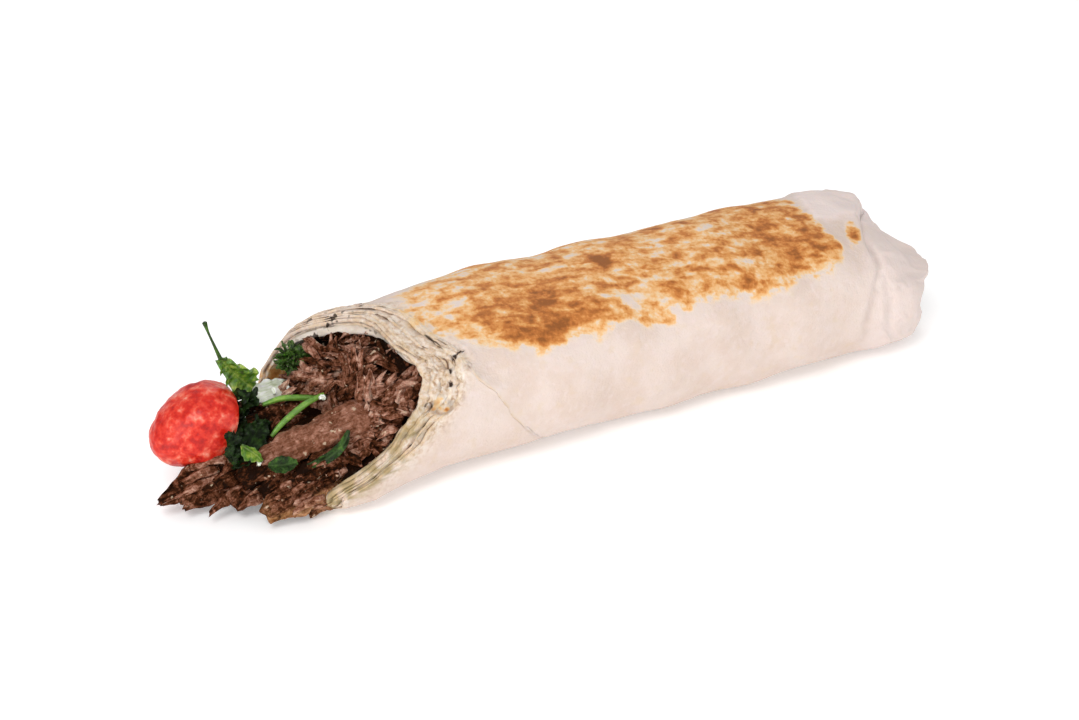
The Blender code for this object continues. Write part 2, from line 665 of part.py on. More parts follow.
STALKS = {
    "herb_stem_upper": Stalk(
        points=(
            (-131.8, 4.4, 26.4),
            (-126.0, 4.2, 27.0),
            (-120.0, 2.6, 26.6),
            (-114.0, 0.4, 26.0),
        ),
        radii=(0.7, 1.0, 1.0, 0.8),
    ),
    "herb_stem_diagonal": Stalk(
        points=(
            (-114.4, -2.6, 29.0),
            (-120.5, -3.6, 28.2),
            (-126.5, -4.6, 26.0),
            (-131.0, -5.4, 23.6),
            (-134.0, -6.0, 21.2),
        ),
        radii=(0.8, 1.1, 1.1, 1.0, 0.7),
    ),
}

LEAF_STEM = Stalk(
    points=((-143.4, 8.05, 43.2), (-145.4, 8.0, 48.6), (-147.0, 8.0, 53.0), (-148.0, 8.0, 56.4)),
    radii=(0.75, 0.5, 0.5, 1.0),
)


def make_tuft(name, collection, material):
    """A crinkled tuft of curly leaf, out to its uneven outline."""
    builder = bmesh.new()
    bmesh.ops.create_icosphere(builder, subdivisions=3, radius=1.0)
    for vert in builder.verts:
        crinkle = 1.0 + PARSLEY_CRINKLE * noise.noise(vert.co * PARSLEY_LUMPS + Vector((3.0, 1.0, 7.0)))
        sized = Vector([vert.co[i] * PARSLEY_HALF[i] * crinkle for i in range(3)])
        vert.co = sized + Vector(PARSLEY_AT)
    return finish_object(name, builder, collection, material)


def collect_union(name, target, collection):
    """Joins every object of a collection onto the target, then removes the collection's objects."""
    union = target.modifiers.new("join", "BOOLEAN")
    union.operation = "UNION"
    union.solver = "EXACT"
    union.operand_type = "COLLECTION"
    union.collection = collection
    apply_modifiers(target)
    for extra in list(collection.objects):
        bpy.data.objects.remove(extra)
    target.name = name


def apply_modifiers(target):
    """Replaces the object's mesh with the one its modifiers give."""
    graph = bpy.context.evaluated_depsgraph_get()
    made = bpy.data.meshes.new_from_object(target.evaluated_get(graph))
    target.modifiers.clear()
    target.data = made


def cut_with(target, cutters):
    """Cuts each cutter's room out of the target, and applies it."""
    for cutter in cutters:
        cut = target.modifiers.new("room_for_" + cutter.name, "BOOLEAN")
        cut.operation = "DIFFERENCE"
        cut.solver = "EXACT"
        cut.use_self = True
        cut.object = cutter
        apply_modifiers(target)


def make_lip_room(collection):
    """A cutter for the thin space between the raised lower lip and the table."""
    builder = bmesh.new()
    bmesh.ops.create_cube(builder, size=1.0)
    for vert in builder.verts:
        corner = vert.co + Vector((0.5, 0.5, 0.5))
        vert.co = Vector(LIP_ROOM_LOW) + Vector([corner[i] * LIP_ROOM_SIZE[i] for i in range(3)])
    return finish_object("lip_room", builder, collection)


def keep_largest_body(target):
    """Drops the loose scraps that cutting leaves, also one that touches the rest along an edge."""
    builder = bmesh.new()
    builder.from_mesh(target.data)
    seen = set()
    bodies = []
    for seed in builder.faces:
        if seed in seen:
            continue
        seen.add(seed)
        body = [seed]
        for face in body:
            for edge in face.edges:
                if len(edge.link_faces) != 2:
                    continue
                for other in edge.link_faces:
                    if other not in seen:
                        seen.add(other)
                        body.append(other)
        bodies.append(body)
    largest = max(bodies, key=len)
    scraps = [face for body in bodies if body is not largest for face in body]
    bmesh.ops.delete(builder, geom=scraps, context="FACES")
    builder.to_mesh(target.data)
    builder.free()


def thicker_copy(source, collection):
    """A cutter: the object with its surface moved out by the gap."""
    copy = bpy.data.objects.new(source.name + "_room", source.data.copy())
    collection.objects.link(copy)
    builder = bmesh.new()
    builder.from_mesh(copy.data)
    builder.normal_update()
    moves = [vert.normal * GAP * vert.calc_shell_factor() for vert in builder.verts]
    for vert, move in zip(builder.verts, moves):
        vert.co += move
    builder.to_mesh(copy.data)
    builder.free()
    return copy


def make_toppings(food, pieces):
    """The tomato, leaves, stalks, onion and parsley, each a node of its own."""
    leaf_materials = {
        "herb_leaf": make_material("herb_leaf", "6B7C38", 0.5),
        "dark_herb_leaf": make_material("dark_herb_leaf", "34401D", 0.5),
        "onion": make_material("onion", "C9CFB0", 0.35),
    }
    make_tomato("tomato_wedge", food, make_material("tomato", "D44C3A", 0.25))
    for name, leaf in LEAVES.items():
        finish_object(name, loft(leaf_rings(leaf)), food, leaf_materials[leaf.material])
    for name, stalk in STALKS.items():
        finish_object(name, loft(stalk_rings(stalk)), food, leaf_materials["herb_leaf"])
    make_tuft("parsley_tuft", food, leaf_materials["dark_herb_leaf"])
    finish_object("leaf_stem", loft(stalk_rings(LEAF_STEM, sides=6)), pieces)
    collect_union("salad_leaf", bpy.data.objects["salad_leaf"], pieces)


def make_heap(food, pieces):
    """The meat: the packed core with the mound and every slice that shows fused on."""
    heap = make_core(food)
    heap.data.materials.append(make_material("shaved_meat", "6E4D3B", 0.55))
    make_mound(pieces)
    for name, piece in SHOWN_SLICES.items():
        finish_object(name, loft(slice_rings(piece)), pieces)
    make_mouth_slices(pieces)
    collect_union("meat_heap", heap, pieces)
    return heap


def make_room_in(heap, food, cutters):
    """Cuts the bread's and the toppings' places out of the meat, each with its gap round it."""
    rooms = [finish_object("bread_room", loft(bread_rings(GAP)), cutters), make_lip_room(cutters)]
    for topping in [piece for piece in food.objects if piece.name not in ("bread_wrap", "meat_heap")]:
        rooms.append(thicker_copy(topping, cutters))
    cut_with(heap, rooms)
    keep_largest_body(heap)
    for cutter in rooms:
        cutter.hide_render = True
        cutter.display_type = "WIRE"


def main():
    for existing in list(bpy.data.objects):
        bpy.data.objects.remove(existing)
    food = bpy.data.collections.new("meat_shawarma")
    cutters = bpy.data.collections.new("cutters")
    pieces = bpy.data.collections.new("slices")
    for collection in (food, cutters, pieces):
        bpy.context.scene.collection.children.link(collection)
    bread_material = make_material("griddled_flatbread", "EBD2BC", 0.75)
    finish_object("bread_wrap", loft(bread_rings()), food, bread_material)
    make_toppings(food, pieces)
    heap = make_heap(food, pieces)
    make_room_in(heap, food, cutters)
    bpy.data.collections.remove(pieces)


main()
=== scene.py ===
# A rolled flatbread full of shaved meat, with tomato, herbs and onion at its open end.
# Lengths are in millimetres until a mesh is filled. X runs along the roll, from its mouth to its tucked end.
import math

import bpy
import numpy as np
from mathutils import Matrix, Vector


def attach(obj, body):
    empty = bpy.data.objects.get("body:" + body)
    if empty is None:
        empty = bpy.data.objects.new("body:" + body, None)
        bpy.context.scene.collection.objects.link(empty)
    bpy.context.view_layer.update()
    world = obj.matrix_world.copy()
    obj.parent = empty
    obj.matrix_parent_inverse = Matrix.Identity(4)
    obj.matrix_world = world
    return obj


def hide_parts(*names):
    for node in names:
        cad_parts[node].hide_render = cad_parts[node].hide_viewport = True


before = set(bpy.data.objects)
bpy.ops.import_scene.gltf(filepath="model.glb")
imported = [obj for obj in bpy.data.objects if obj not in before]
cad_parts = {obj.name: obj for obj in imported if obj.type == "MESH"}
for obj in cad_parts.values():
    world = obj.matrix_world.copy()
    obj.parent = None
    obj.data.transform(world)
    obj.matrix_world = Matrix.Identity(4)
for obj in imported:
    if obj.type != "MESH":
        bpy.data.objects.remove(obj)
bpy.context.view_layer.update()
print("frame loaded with", len(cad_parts), "nodes")

mm = 0.001


# ways to bend numbers

def soft(t):  # 0 below 0, 1 above 1, 3t^2 - 2t^3 between
    t = np.clip(t, 0, 1)
    return t * t * (3 - 2 * t)


def bell(value, middle, width):  # 1 at the middle, exp(-(distance / width)^2) away from it
    return np.exp(-(((value - middle) / width) ** 2))


def turnBell(theta, middle, width):  # a bell on the angle round the roll, in degrees, that wraps at a full turn
    away = (theta - math.radians(middle) + np.pi) % (2 * np.pi) - np.pi
    return np.exp(-((away / math.radians(width)) ** 2))


def softNoise(points, size, seed=0):
    # chance values from -1 to 1, one at each corner of a lattice of this size, blended between by 3t^2 - 2t^3
    places = np.asarray(points, float) / size
    low = np.floor(places).astype(np.int64)
    t = places - low
    t = t * t * (3 - 2 * t)
    total = 0
    for corner in np.ndindex(2, 2, 2):
        cell = low + corner
        mixed = cell[..., 0] * 374761393 + cell[..., 1] * 668265263 + cell[..., 2] * 1440662683 + seed * 3624379
        mixed = mixed & 0xFFFFFFFF
        mixed = ((mixed ^ (mixed >> 13)) * 1274126177) & 0xFFFFFFFF
        value = ((mixed ^ (mixed >> 16)) & 0xFFFF) / 32767.5 - 1
        total = total + np.prod(np.where(corner, t, 1 - t), axis=-1) * value
    return total


def roughNoise(points, size, seed=0, layers=3):  # soft noise with finer and weaker layers on top
    return sum(softNoise(points, size / 2**i, seed + i) * 0.5**i for i in range(layers))


def curveThrough(points, count):  # evenly stepped places on a Catmull-Rom curve through a few points
    points = np.array(points, float)
    if points.ndim == 1:
        return curveThrough(points[:, None], count)[:, 0]
    steps = np.linspace(0, len(points) - 1, count)
    first = np.minimum(steps.astype(int), len(points) - 2)
    t = (steps - first)[:, None]
    padded = np.vstack([2 * points[0] - points[1], points, 2 * points[-1] - points[-2]])
    return catmull(padded[first], padded[first + 1], padded[first + 2], padded[first + 3], t)


def catmull(a, b, c, d, t):
    square = 2 * a - 5 * b + 4 * c - d
    cube = 3 * b - a - 3 * c + d
    return 0.5 * (2 * b + (c - a) * t + square * t**2 + cube * t**3)


def unit(vectors):
    vectors = np.asarray(vectors, float)
    return vectors / np.linalg.norm(vectors, axis=-1, keepdims=True)


def together(*parts):  # coordinates, spread to one shape and stacked into points
    return np.stack(np.broadcast_arrays(*parts), axis=-1)


# meshes from grids

def gridNormals(grid):  # across the columns times along the rows, turned outwards by whoever calls
    around = np.roll(grid, -1, axis=1) - np.roll(grid, 1, axis=1)
    normals = np.cross(around, np.gradient(grid, axis=0))
    return normals / np.maximum(np.linalg.norm(normals, axis=-1, keepdims=True), 1e-9)


def gridFaces(rows, columns):
    # quads over a grid whose columns close on themselves, and a fan of triangles to a pole past either end
    i = np.arange(rows - 1)[:, None] * columns
    j = np.arange(columns)
    k = (j + 1) % columns
    quads = together(i + j, i + k, i + columns + k, i + columns + j).reshape(-1, 4)
    pole = np.full(columns, rows * columns)
    end = (rows - 1) * columns
    fans = np.concatenate([together(pole, k, j), together(pole + 1, end + j, end + k)])
    return quads, fans


def makePiece(name, parts, material, replaced=()):
    # parts are closed surfaces: a grid of points, and the values that the material reads on it
    allPoints, allQuads, allFans, allValues, offset = [], [], [], {}, 0
    for grid, values in parts:
        rows, columns = grid.shape[:2]
        points = np.vstack([grid.reshape(-1, 3), grid[0].mean(axis=0), grid[-1].mean(axis=0)])
        quads, fans = gridFaces(rows, columns)
        a, b, c = (points[np.concatenate([quads[:, :3], quads[:, [0, 2, 3]], fans])][:, i] for i in range(3))
        middle = points.mean(axis=0)
        if np.einsum("ij,ij->", a - middle, np.cross(b - middle, c - middle)) < 0:  # inside out
            quads, fans = quads[:, ::-1], fans[:, ::-1]
        allPoints.append(points)
        allQuads.append(quads + offset)
        allFans.append(fans + offset)
        offset += len(points)
        for key, value in values.items():
            value = np.asarray(value, float)
            width = (3,) if value.ndim and value.shape[-1] == 3 and value.shape != (rows, columns) else ()
            full = np.broadcast_to(value, (rows, columns) + width)
            ends = np.stack([full[0].mean(axis=0), full[-1].mean(axis=0)])
            allValues.setdefault(key, []).append(np.concatenate([full.reshape((-1,) + width), ends]))
    points, quads, fans = np.concatenate(allPoints), np.concatenate(allQuads), np.concatenate(allFans)
    mesh = bpy.data.meshes.new(name)
    mesh.vertices.add(len(points))
    mesh.vertices.foreach_set("co", (points * mm).ravel())
    mesh.loops.add(quads.size + fans.size)
    mesh.loops.foreach_set("vertex_index", np.concatenate([quads.ravel(), fans.ravel()]))
    sizes = np.concatenate([np.full(len(quads), 4), np.full(len(fans), 3)])
    mesh.polygons.add(len(sizes))
    mesh.polygons.foreach_set("loop_start", np.concatenate([[0], np.cumsum(sizes)[:-1]]))
    mesh.update(calc_edges=True)
    mesh.shade_smooth()
    for key, value in allValues.items():
        value = np.concatenate(value)
        kind, field = ("FLOAT_VECTOR", "vector") if value.ndim == 2 else ("FLOAT", "value")
        mesh.attributes.new(key, kind, "POINT").data.foreach_set(field, value.astype(np.float32).ravel())
    mesh.materials.append(material)
    piece = bpy.data.objects.new(name, mesh)
    bpy.context.scene.collection.objects.link(piece)
    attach(piece, "root")
    if replaced:
        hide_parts(*replaced)
    print(name, "has", 2 * len(quads) + len(fans), "triangles")
    return piece


# materials

whiteOut = 1.2  # the light is this much stronger than a white table needs, so that the table burns out


def linear(hexCode):  # an sRGB hex colour, as it should look under that light, as linear RGBA of the surface
    channels = [int(hexCode[i:i + 2], 16) / 255 for i in (0, 2, 4)]
    return [(c / 12.92 if c <= 0.04045 else ((c + 0.055) / 1.055) ** 2.4) / whiteOut for c in channels] + [1]


def addNode(tree, kind, inputs=(), output=0, stops=(), **settings):
    # a node with its settings, its inputs in order or by name, linked or set, and its ramp; gives one output
    node = tree.nodes.new("ShaderNode" + kind)
    for key, given in settings.items():
        setattr(node, key, given)
    for key, given in inputs.items() if isinstance(inputs, dict) else enumerate(inputs):
        if isinstance(given, bpy.types.NodeSocket):
            tree.links.new(given, node.inputs[key])
        else:
            node.inputs[key].default_value = linear(given) if isinstance(given, str) else given
    for i, (place, hexCode) in enumerate(stops):
        stop = node.color_ramp.elements[i] if i < 2 else node.color_ramp.elements.new(place)
        stop.position = place
        stop.color = linear(hexCode)
    return node.outputs[output]


def newMaterial(name, settings):  # a Principled material, its tree, and the place on the object
    material = bpy.data.materials.new(name)
    material.use_nodes = True
    tree = material.node_tree
    for key, given in settings.items():
        tree.nodes["Principled BSDF"].inputs[key].default_value = given
    return material, tree, addNode(tree, "TexCoord", output="Object")


def finishMaterial(material, colour, height, strength, distance):
    # a material gets its colour, and bumps that are at most this high in metres
    tree = material.node_tree
    shader = tree.nodes["Principled BSDF"]
    tree.links.new(colour, shader.inputs["Base Color"])
    bump = addNode(tree, "Bump", {"Strength": strength, "Distance": distance, "Height": height})
    tree.links.new(bump, shader.inputs["Normal"])
    return material


def weighed(tree, *terms, less=0):  # the sum of every source times its weight, less a constant
    total = None
    for source, weight in terms:
        part = addNode(tree, "Math", (source, weight), operation="MULTIPLY") if weight != 1 else source
        total = addNode(tree, "Math", (total, part), operation="ADD") if total else part
    return addNode(tree, "Math", (total, less), operation="SUBTRACT") if less else total


def laidOver(tree, colour, *coats):  # each coat is a share from 0 to 1 and the colour that it mixes in
    for share, coat in coats:
        colour = addNode(tree, "Mix", {0: share, 6: colour, 7: coat}, 2, data_type="RGBA")
    return colour


# flatbread

bread = {
    "width": 60,
    "height": 50,
    "squareness": 2.7,
    "topTilt": math.radians(13),
    "bottomFlat": 0.7,
    "wall": 4.6,
    "rolledIn": 2.6,  # how much thicker the lip is on its far upper side
    # how far from the middle the lip is, every 30 degrees, far side first
    "lipReach": (119, 113, 101, 94.5, 90, 97, 102.5, 123, 127, 123, 122.5, 122),
    "cornerReach": 4.5,  # how far the toasted corner at the far side sticks out
    "lipSlump": 7,
    "tuckStart": 80,
    "tuckTip": (109.5, -8, 15),
    "flapAt": 66,  # degrees round the roll where the top flap lies
    "topFlap": 19,
    "flapStep": 0.17,
    "endBulges": ((18, 26.5, 5.2), (22, 7, 4.5)),  # how far out, at what height, and how wide
    "lowerReach": 17,
    "cavityEnd": 84,
    "cavityCap": 18,
    "around": 350,  # columns of the mesh
    "pocket": 1.2,  # how deep the gap under each free edge goes
    "edgeLift": 1.1,  # how far a free edge curls up at most
    "rimWrinkle": 0.75,  # height of the wrinkles behind the lip
    "tuckFold": 0.35,  # height of the folds at the closed end
    "knobAt": (-88.8, 31.2),  # x and z of the small knob on the near side of the rim
    "knobHalf": (2.9, 2.2),
    "knobShadeAt": (-92.4, 31),  # and of the shaded hollow beside it
    "knobShadeHalf": (1.7, 1),
    "cornerAt": (-119.5, 25, 22),
    "cornerHalf": (7.5, 6, 5.5),
    "creaseAt": 77.8,  # x of the crease on the cap, low down
    "spotAt": (79.4, -14.6),  # x and y of the small browned mark on the cap
    "spotHalf": (7, 2.2),
    # how far behind the lip the outermost sheet ends, every 30 degrees, far side first
    "seamBehind": (5.5, 6, 7.5, 9.5, 12.5, 23, 39, 70, 84, 60, 14, 6),
}

# the browned top, as ovals: x, y, half length, half width, strength
griddleMarks = (
    (-46, -13, 17, 13, 0.26), (-33, -22, 10, 6, 0.16), (-55, -22, 8, 5, 0.12),
    (-14.5, -0.5, 4.6, 3.2, 0.60), (-6, 2, 8, 3, 0.16), (-1, -24, 22, 4.5, 0.20),
    (-11, -19, 7, 3.6, -0.34), (-18, -13, 5, 5, 0.16), (22, -14, 9, 7, 0.06),
    (44, -16, 15, 9, 0.10), (57, -8, 15, 14, 0.17), (52, 4, 14, 5, 0.10),
    (-74, 6, 12, 8, -0.06), (30, 12, 40, 5, 0.12),
)

# gaps in the crumpled rim, dented and painted dark as shade: x, y, half length, half width, degrees from X
rimGapShades = (
    (-82.8, -12.8, 3.9, 0.62, 107), (-79.9, -20.6, 1, 0.9, 0), (-77.4, -19.8, 2, 0.4, 15),
    (-82.6, -23.4, 1.3, 0.6, 60), (-84.5, -26.5, 0.8, 0.8, 0), (-96, 17, 1.8, 1.2, 80),
    (-99.6, 22.5, 2.6, 1.1, 100), (-93.5, 14, 1.2, 0.6, 60),
)


def roundCurve(theta, values):  # Catmull-Rom through values at even steps round the roll
    values = np.array(values, float)
    place = theta / (2 * np.pi) * len(values)
    whole = np.floor(place).astype(int)
    return catmull(*(values[(whole + step) % len(values)] for step in (-1, 0, 1, 2)), place - whole)


def rimLine(theta):  # x of the innermost lip: the reaches, the far corner and low waves
    reach = roundCurve(theta, bread["lipReach"]) + bread["cornerReach"] * turnBell(theta, -3, 11)
    return 0.9 * np.sin(5 * theta + 1) + 0.5 * np.sin(9 * theta + 2.6) - reach


def rollSection(x, theta, inset):
    # a squarish oval ring, |y/a|^2.7 + |z/b|^2.7 = 1, whose upper half is tilted to the near side
    c, s = np.cos(theta), np.sin(theta)
    along = np.clip((x + 110) / 220, 0, 1)
    crown = 0.6 * bell(x, 20, 30) - 0.6 * bell(x, -35, 30)
    halfWide = bread["width"] / 2 * (1 - 0.02 * along) - 0.8 * bell(x, 15, 35) - inset
    halfHigh = (bread["height"] + bread["bottomFlat"]) / 2 + crown - inset
    y = halfWide * np.sign(c) * np.abs(c) ** (2 / bread["squareness"])
    z = halfHigh * np.sign(s) * np.abs(s) ** (2 / bread["squareness"])
    tilt = bread["topTilt"] * soft((z / (bread["height"] / 2) + 0.3) / 1.3)
    turnedY = y * np.cos(tilt) - z * np.sin(tilt)
    turnedZ = y * np.sin(tilt) + z * np.cos(tilt) + (bread["height"] - bread["bottomFlat"]) / 2
    turnedZ = turnedZ - 3.4 * soft((-x - 45) / 50) * soft(turnedZ / bread["height"])  # droops to the mouth
    sag = 1.4 * soft((x - 62) / 20) + 1.6 * soft((x - 80) / 18)
    turnedZ = turnedZ - sag * soft(turnedZ / (bread["height"] / 2))
    slump = bread["lipSlump"] * soft((-x - 90) / 24)
    turnedY = turnedY - slump * soft(-2 * c) * (1 - soft(turnedZ / 22))
    return np.stack([np.broadcast_to(x, theta.shape), turnedY, turnedZ], axis=-1)


def rollRelief(x, theta):  # low waves that the filling pushes into the bread
    return (0.35 * np.sin(x / 7.5 + 2 * theta + 1) + 0.25 * np.sin(x / 4.9 - 3 * theta + 0.4)
            + 0.20 * np.sin(5 * theta + x / 20))


def tuckLine(theta):  # x where the roll starts to close
    flap = bread["topFlap"] * turnBell(theta, bread["flapAt"], 27)
    return bread["tuckStart"] + flap + bread["lowerReach"] * turnBell(theta, 238, 40)


def tuckRing(phi, theta):
    # a ring of the closed end: the roll's outline shrunk to the tip by cos(phi)^power, phi from 0 to 90 degrees
    power = 0.60 + 0.42 * soft(np.sin(theta)) - 0.42 * turnBell(theta, 232, 45)
    flapStep = bread["flapStep"] * turnBell(theta, bread["flapAt"], 38) * soft(phi / 0.05) * np.cos(phi)
    crease = 0.035 * turnBell(theta, 178, 30) * bell(phi, 0.18, 0.09)
    keep = np.cos(phi) ** power - flapStep - crease + 0.03 * np.sin(6 * theta + 2) * np.sin(2 * phi)
    start, tip = tuckLine(theta), bread["tuckTip"]
    ring = rollSection(start, theta, -rollRelief(start, theta) * np.cos(phi))
    ring[:, 0] = start + (tip[0] - start) * np.sin(phi)
    for axis in (1, 2):
        ring[:, axis] = tip[axis] * (1 - keep) + ring[:, axis] * keep
    wider = 1 + 0.4 * soft((ring[:, 1] + 6) / 9)  # the folds open out on the far side
    bulges = sum(much * bell(ring[:, 2], height, width * wider) for much, height, width in bread["endBulges"])
    ring[:, 0] += (1 - keep) * soft(1.5 * (1 - keep)) * bulges
    return ring


def sheetEdges(theta):
    # for each thin sheet of the rolled bread, from the inside out: how far behind the lip it ends, how deep its
    # face lies, and its thickness
    near, top = turnBell(theta, 150, 50), turnBell(theta, 95, 40)
    seam = roundCurve(theta, bread["seamBehind"])
    return (
        (0.8 + 0 * theta, 3.8, 0.8),
        (0 * theta, 2.5, 1.3),
        (0.8 + 1.7 * near, 1.95, 0.5),
        (1.6 + 3.2 * near + 0.6 * top, 1.45, 0.45),
        (2.4 + 4.4 * near + 2 * top, 0.95, 0.4),
        (3.4 + 5.6 * near + 3.6 * top, 0.3, 0.45),
        (np.maximum(seam, 6 + 5.6 * near + 3.6 * top), 0, 0.12),
    )


def breadGrid():
    theta = np.linspace(0, 2 * np.pi, bread["around"], endpoint=False)
    ringPlace = np.stack([30 * np.cos(theta), 30 * np.sin(theta), 0 * theta], axis=-1)
    rim = rimLine(theta)
    rimWave = 0.7 * softNoise(ringPlace, 9, 5) + 0.3 * softNoise(ringPlace, 4, 6)
    rows, marks = [], []

    def mark(*values):
        marks.append([value + 0 * theta for value in values])

    def put(x, inset, inner=0, creviceShade=0, edge=0):
        back = x - rim
        wave = rimWave * (1 - soft(back / 14)) * (1 - inner)
        raised = rollRelief(x, theta) * soft(back / 12) + wave
        rows.append(rollSection(x, theta, inset - raised * (1 - inner)))
        mark(inner, creviceShade, edge, back)

    end = bread["cavityEnd"]
    for phi in np.radians([80, 62, 36, 14]):
        ring = rollSection(end + 0 * theta, theta, bread["wall"])
        middle = ring.mean(axis=0)
        ring[:, 1:] = middle[1:] + (ring[:, 1:] - middle[1:]) * math.cos(phi) ** 0.6
        ring[:, 0] = end + bread["cavityCap"] * math.sin(phi)
        rows.append(ring)
        mark(1, 0, 0, 150)
    for share in np.linspace(1, 0.13, 9):
        put(rim * (1 - share) + end * share, bread["wall"], inner=1)
    rolledIn = bread["rolledIn"] * turnBell(theta, 56, 36)
    for back in np.linspace(22, 2.2, 26):
        put(rim + back, bread["wall"] + rolledIn * soft((7 - back) / 4), inner=1)
    pocket = bread["pocket"]
    sheets = sheetEdges(theta)
    for number, (behind, inset, thick) in enumerate(sheets):
        outermost = number == len(sheets) - 1
        place = ringPlace + [0, 0, 40 * number]
        ragged = 0.6 * softNoise(place, 9, 11) + 0.45 * softNoise(place, 3.5, 12)
        ragged += 0.28 * softNoise(place, 1.6, 13)
        ragged += 0.8 * softNoise(place, 5, 15) * turnBell(theta, 222, 42)
        curl = np.clip(roughNoise(place, 9, 17) - 0.05, 0, 1) ** 1.3
        curl = bread["edgeLift"] * curl * (1 - 0.6 * turnBell(theta, 270, 70)) * (0.5 if number < 2 else 1)
        lift = 0.05 + curl
        lift = lift * (0.15 + 0.85 * turnBell(theta, 135, 65)) * (0.1 if outermost else 1)
        if number > 1:
            gathered = 1 + 0.45 * softNoise(place, 15, 19) * (0.05 if outermost else 1)
            behind = np.maximum(behind * gathered, 0.25 * number)
        ragged = ragged * (0.5 if outermost else 0.8) * (1.25 if number > 1 and not outermost else 1)
        edge = rim + behind + ragged
        if number == 0:
            put(edge + 0.9, bread["wall"] + rolledIn, inner=1)
            for share in (0.94, 0.7, 0.45, 0.2):
                bulge = 0.7 * share - 0.5 * softNoise(ringPlace + [0, 0, 90 * share], 2.2, 14)
                bulge = bulge * rolledIn / bread["rolledIn"]
                put(edge + 0.3 - bulge, bread["wall"] + rolledIn * share, inner=0.7)
            put(edge, bread["wall"] - 0.25, inner=0.8, edge=0.7)
        else:
            # the pocket under each free edge is painted dark as shade, faintly under the outermost sheet
            under, dark = below - 0.04, 0.22 if outermost else 1
            if outermost:
                for share in (0.12, 0.3, 0.5, 0.7, 0.88, 1):
                    put(reached * (1 - share) + np.maximum(edge - 0.2, reached + 0.1) * share, below)
            put(edge + pocket, under, creviceShade=dark)
            put(edge + pocket * 0.98, under - 0.05, creviceShade=dark)
            put(edge + pocket * 0.5, under - 0.06 - lift * 0.4, creviceShade=dark)
            put(edge + 0.2, under - 0.06 - lift, creviceShade=0.6 * dark)
        put(edge - 0.1, inset + thick * 0.5 - lift, edge=1)
        put(edge + 0.08, inset + thick * 0.12 - lift, edge=1)
        put(edge + 0.35, inset - lift * 0.92, edge=0.7)
        put(edge + pocket * 0.6, inset - lift * 0.6, edge=0.3)
        put(edge + pocket * 1.1, inset - lift * 0.25)
        put(edge + pocket * 1.8, inset)
        below, reached = inset, edge + pocket * 1.8
    sheet, tuck = edge + pocket * 1.8, tuckLine(theta)
    for share in np.concatenate([np.linspace(0.006, 0.14, 26), np.linspace(0.148, 1, 94)]):
        put(sheet * (1 - share) + tuck * share, 0)
    for phi in np.radians(np.concatenate([np.linspace(1, 20, 14), np.linspace(22, 86, 30)])):
        rows.append(tuckRing(phi, theta))
        mark(0, 0, 0, 170 + 60 * math.sin(phi))
    grid = np.array(rows)
    inner, creviceShade, edge, back = np.array(marks).transpose(1, 0, 2)
    return grid, theta, inner, creviceShade, edge, back


def ovalMark(first, second, power):  # exp(-(first^2 + second^2)^power), of distances counted in half lengths
    return np.exp(-((first**2 + second**2) ** power))


def knobPlace(grid):  # 0 at the middle of the knob on the rim, 1 at its uneven edge
    (knobX, knobZ), (halfLong, halfHigh) = bread["knobAt"], bread["knobHalf"]
    x, z = grid[..., 0], grid[..., 2]
    return ((x - knobX) / halfLong) ** 2 + ((z - knobZ) / halfHigh) ** 2 + 0.6 * softNoise(grid, 1.8, 37)


def gapShadeMarks(x, y):  # painted shade where the rim's gaps are: long ovals, each turned its own way
    slitShade = 0 * x
    for gapX, gapY, halfLong, halfWide, turned in rimGapShades:
        c, s = math.cos(math.radians(turned)), math.sin(math.radians(turned))
        far, side = (x - gapX) * c + (y - gapY) * s, (y - gapY) * c - (x - gapX) * s
        slitShade = slitShade + ovalMark(far / halfLong, side / halfWide, 1.5)
    return slitShade


def griddled(grid, strip, inner):
    # how brown the top is: a band with an uneven edge, darker and lighter ovals in it, and the mark on the cap
    x, y, z = np.moveaxis(grid, -1, 0)
    wander = softNoise(grid, 10, 71) * 1.8 + softNoise(grid, 4, 72) * 0.9
    lowEdge = -28 + 12 * soft((-58 - x) / 24) + 9 * soft((x - 62) / 22) + wander
    farWander = 5 * softNoise(grid, 16, 73)
    onTop = soft((y - lowEdge + 1) / 7.5) * soft((z - 34 - wander) / 3)
    onTop = onTop * (1 - soft((y - 14 - farWander) / 10))
    onTop = onTop * soft((x + 94 + wander) / 22) * (1 - soft((x - 69 + wander) / 4))
    toast = 0.46 + 0 * x
    for markX, markY, halfLong, halfWide, strength in griddleMarks:
        toast = toast + strength * ovalMark((x - markX) / halfLong, (y - markY) / halfWide, 1.4)
    toast = toast * onTop * (1 - strip) * (1 - inner)
    (spotX, spotY), (spotLong, spotWide) = bread["spotAt"], bread["spotHalf"]
    spotAlong = (x - spotX) * 0.56 + (y - spotY) * 0.83
    spotSide = (x - spotX) * 0.83 - (y - spotY) * 0.56 + 0.3 * wander
    spot = ovalMark(spotAlong / spotLong, spotSide / spotWide, 1.6) * soft((z - 34) / 3)
    return toast + 0.8 * spot * (1 - inner)


